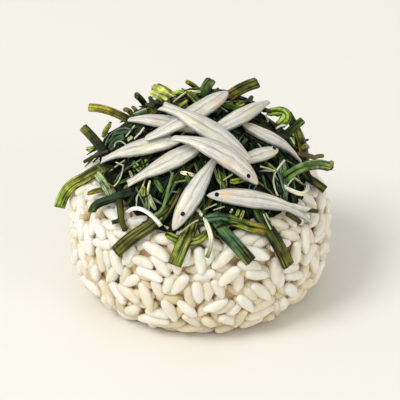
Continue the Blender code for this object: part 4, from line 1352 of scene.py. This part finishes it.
def fishTint(uv, blushes, warmth):
    # alpha holds how strongly the blush covers the silver
    tint = np.zeros((len(uv), 4))
    tint[:, :3] = blushColours["snout"]
    side = uv[:, 1] * 2 - 1
    for share, spot, reach, strength, colour in blushes:
        along = (uv[:, 0] - share) / reach
        if spot is None:
            cover = strength * np.exp(-(along**6) - (side / blushReach["across"]) ** 6)
        else:
            cover = strength * np.exp(-(along**2) - ((side - spot) / blushReach["side"]) ** 2)
        tint[cover > tint[:, 3], :3] = blushColours[colour]
        tint[:, 3] = np.maximum(tint[:, 3], cover)
    return tint, np.broadcast_to(np.array((warmth, 0, 0, 1.0)), (len(uv), 4))


def fishMaterial():
    material, tree, shader = newMaterial(
        "silverFish", Roughness=0.42, Subsurface_Weight=0.10, Subsurface_Scale=0.0010, Coat_Weight=0.10,
        Coat_Roughness=0.25,
    )
    spots = addNode(tree, "TexCoord").outputs
    split = addNode(tree, "SeparateXYZ", {"Vector": spots["UV"]})
    wander = addNoise(tree, stretched(tree, spots["UV"], (3.0, 2.0, 1)), 1.4, 2)
    moved = addNode(tree, "Math", {0: wander, 1: 0.22, 2: -0.11}, operation="MULTIPLY_ADD")
    band = addNode(tree, "Math", {0: split.outputs["Y"], 1: moved.outputs[0]}, operation="ADD")
    # painted shade: the body darkens to both edges, where it turns away; the darker bands nearer the middle
    # are the fish's own lines
    base = addRamp(
        tree, band.outputs[0],
        [(0.00, linear(120, 120, 112)), (0.06, linear(196, 196, 184)), (0.20, linear(242, 240, 226)),
         (0.34, linear(236, 232, 214)), (0.44, linear(214, 210, 200)), (0.50, linear(200, 196, 190)),
         (0.57, linear(236, 234, 222)), (0.70, linear(230, 228, 216)), (0.80, linear(200, 200, 194)),
         (0.88, linear(222, 222, 212)), (1.0, linear(112, 114, 110))],
    )
    streaks = addNoise(tree, stretched(tree, spots["UV"], (3.2, 34, 1)), 1.0, 4, 0.62)
    grey = addRamp(
        tree, streaks,
        [(0.38, (0.48, 0.48, 0.50)), (0.47, (0.82, 0.82, 0.83)), (0.56, (1.0, 1.0, 0.98))],
    )
    colour = mixColours(tree, "MULTIPLY", 0.9, base, grey)
    mottle = addNoise(tree, spots["Object"], 620, 4, 0.6)
    shaded = addRamp(tree, mottle, [(0.36, (0.84, 0.83, 0.84)), (0.55, (1.0, 1.0, 1.0))])
    colour = mixColours(tree, "MULTIPLY", 0.8, colour, shaded)
    warm = addNode(tree, "Attribute", attribute_name="warmth")
    patches = addNoise(tree, spots["Object"], 190, 2)
    yellow = addRamp(tree, patches, [(0.44, (1.0, 1.0, 1.0)), (0.66, (0.98, 0.97, 0.74))])
    colour = mixColours(tree, "MULTIPLY", warm.outputs["Fac"], colour, yellow)
    tint = addNode(tree, "Attribute", attribute_name="tint")
    colour = mixColours(tree, "MIX", tint.outputs["Alpha"], colour, tint.outputs["Color"])
    tree.links.new(colour, shader.inputs["Base Color"])
    scales = addNode(tree, "TexVoronoi", {"Vector": stretched(tree, spots["UV"], (70, 16, 1)), "Scale": 1.0})
    before = addBump(tree, shader, scales.outputs["Distance"], 0.12, 0.0002)
    addBump(tree, shader, streaks, 0.25, 0.0003, before)
    return material


def eyeMaterial():
    material, tree, shader = newMaterial("fishEye", Roughness=0.40)
    shader.inputs["Specular IOR Level"].default_value = 0.2
    rim = addNode(tree, "Attribute", attribute_name="rim").outputs["Fac"]
    ramp = addRamp(
        tree, rim,
        [(0.0, linear(8, 8, 10)), (eyeForm["pupil"], linear(10, 10, 12)),
         (eyeForm["pupil"] + 0.06, linear(176, 186, 190)), (1.0, linear(206, 208, 204))],
    )
    tree.links.new(ramp, shader.inputs["Base Color"])
    return material


def modelEye():
    deselectAll()
    bpy.ops.mesh.primitive_uv_sphere_add(segments=eyeForm["segments"], ring_count=eyeForm["rings"], radius=1)
    eye = bpy.context.object
    bpy.ops.object.mode_set(mode="EDIT")
    selectVerts(eye, lambda co: co.z < 0)
    bpy.ops.transform.resize(value=(1, 1, 0.4), center_override=(0, 0, 0))
    bpy.ops.object.mode_set(mode="OBJECT")
    return takeShape(eye)


print("fish: eleven bodies and their eyes")
bodyPoints, bodyFaces = modelBody()
eyePoints, eyeFaces = modelEye()
silverFish = fishMaterial()
fishEyeCopies = []
fishDraw = random.Random(29)
for number, (row, path, marks) in enumerate(zip(fishRows, fishPaths, fishMarks), 1):
    smooth = easePath(path)
    placed, uv, _ = fishPoints(bodyPoints, row, smooth)
    tint, warmth = fishTint(uv, marks["blush"], fishDraw.uniform(0.5, 1.0))
    fish = joinCopies(f"fishBody{number:02d}", [(placed, bodyFaces, uv, {"tint": tint, "warmth": warmth})])
    fish.data.materials.append(silverFish)
    applyModifier(fish, "SUBSURF", levels=1, render_levels=1)
    place(fish, "fish", f"fish_{number:02d}")
    for face in marks["faces"]:
        share, side = marks["eye"]
        flat = np.array([[share, side, face * math.sqrt(1 - side * side)]])
        spot, _, (_, across, up, _, _) = fishPoints(flat, row, smooth)
        turn = np.stack([across[0], np.cross(up[0] * face, across[0]), up[0] * face])
        size = np.array((eyeForm["radius"], eyeForm["radius"], eyeForm["bulge"]))
        eye = (eyePoints * size) @ turn + spot[0]
        rim = np.zeros((len(eyePoints), 4))
        rim[:, :3] = np.hypot(eyePoints[:, 0], eyePoints[:, 1])[:, None]
        rim[:, 3] = 1
        uvEye = eyePoints[:, :2] * 0.5 + 0.5
        fishEyeCopies.append((eye, eyeFaces, uvEye, {"rim": rim}))
fishEyes = joinCopies("fishEyes", fishEyeCopies)
fishEyes.data.materials.append(eyeMaterial())
place(fishEyes, "fish")


# Floor, light and camera

studio = {
    "floorSize": 6.0,
    "floorColour": linear(240, 238, 230),
    "sky": (1.0, 0.99, 0.97),
    "skyStrength": 0.62,
    "keyPower": 19.0,
    "keySize": 0.75,
    "keySpot": (-0.95, -0.65, 1.40),
    "fillPower": 2.6,
    "fillSize": 0.6,
    "fillSpot": (1.0, -0.9, 0.6),
}


def addAreaLight(name, spot, power, size):
    data = bpy.data.lights.new(name, "AREA")
    data.energy = power
    data.size = size
    lamp = bpy.data.objects.new(name, data)
    lamp.location = spot
    lamp.rotation_euler = (Vector((0, 0, 0.02)) - Vector(spot)).to_track_quat("-Z", "Y").to_euler()
    bpy.context.scene.collection.objects.link(lamp)


print("studio: floor, lights and camera")
bpy.context.scene.view_settings.view_transform = "Standard"
deselectAll()
bpy.ops.mesh.primitive_plane_add(size=studio["floorSize"], location=(0, 0, -0.0001))
floor = bpy.context.object
floor.name = "floor"
finishPlace(floor)
floorMaterial, _, floorShader = newMaterial("paleFloor", Roughness=0.8)
floorShader.inputs["Base Color"].default_value = (*studio["floorColour"], 1)
floor.data.materials.append(floorMaterial)

world = bpy.data.worlds.new("studio")
world.use_nodes = True
world.node_tree.nodes["Background"].inputs["Color"].default_value = (*studio["sky"], 1)
world.node_tree.nodes["Background"].inputs["Strength"].default_value = studio["skyStrength"]
bpy.context.scene.world = world
addAreaLight("key", studio["keySpot"], studio["keyPower"], studio["keySize"])
addAreaLight("fill", studio["fillSpot"], studio["fillPower"], studio["fillSize"])

cameraData = bpy.data.cameras.new("camera")
cameraData.lens = viewpoint["lens"]
cameraData.sensor_width = viewpoint["sensor"]
cameraData.clip_start = 0.01
camera = bpy.data.objects.new("camera", cameraData)
back = Vector((0, -math.cos(tilt), math.sin(tilt))) * viewpoint["distance"]
camera.location = Vector(viewpoint["aim"]) + back
camera.rotation_euler = (math.pi / 2 - tilt, 0, 0)
bpy.context.scene.collection.objects.link(camera)
bpy.context.scene.camera = camera
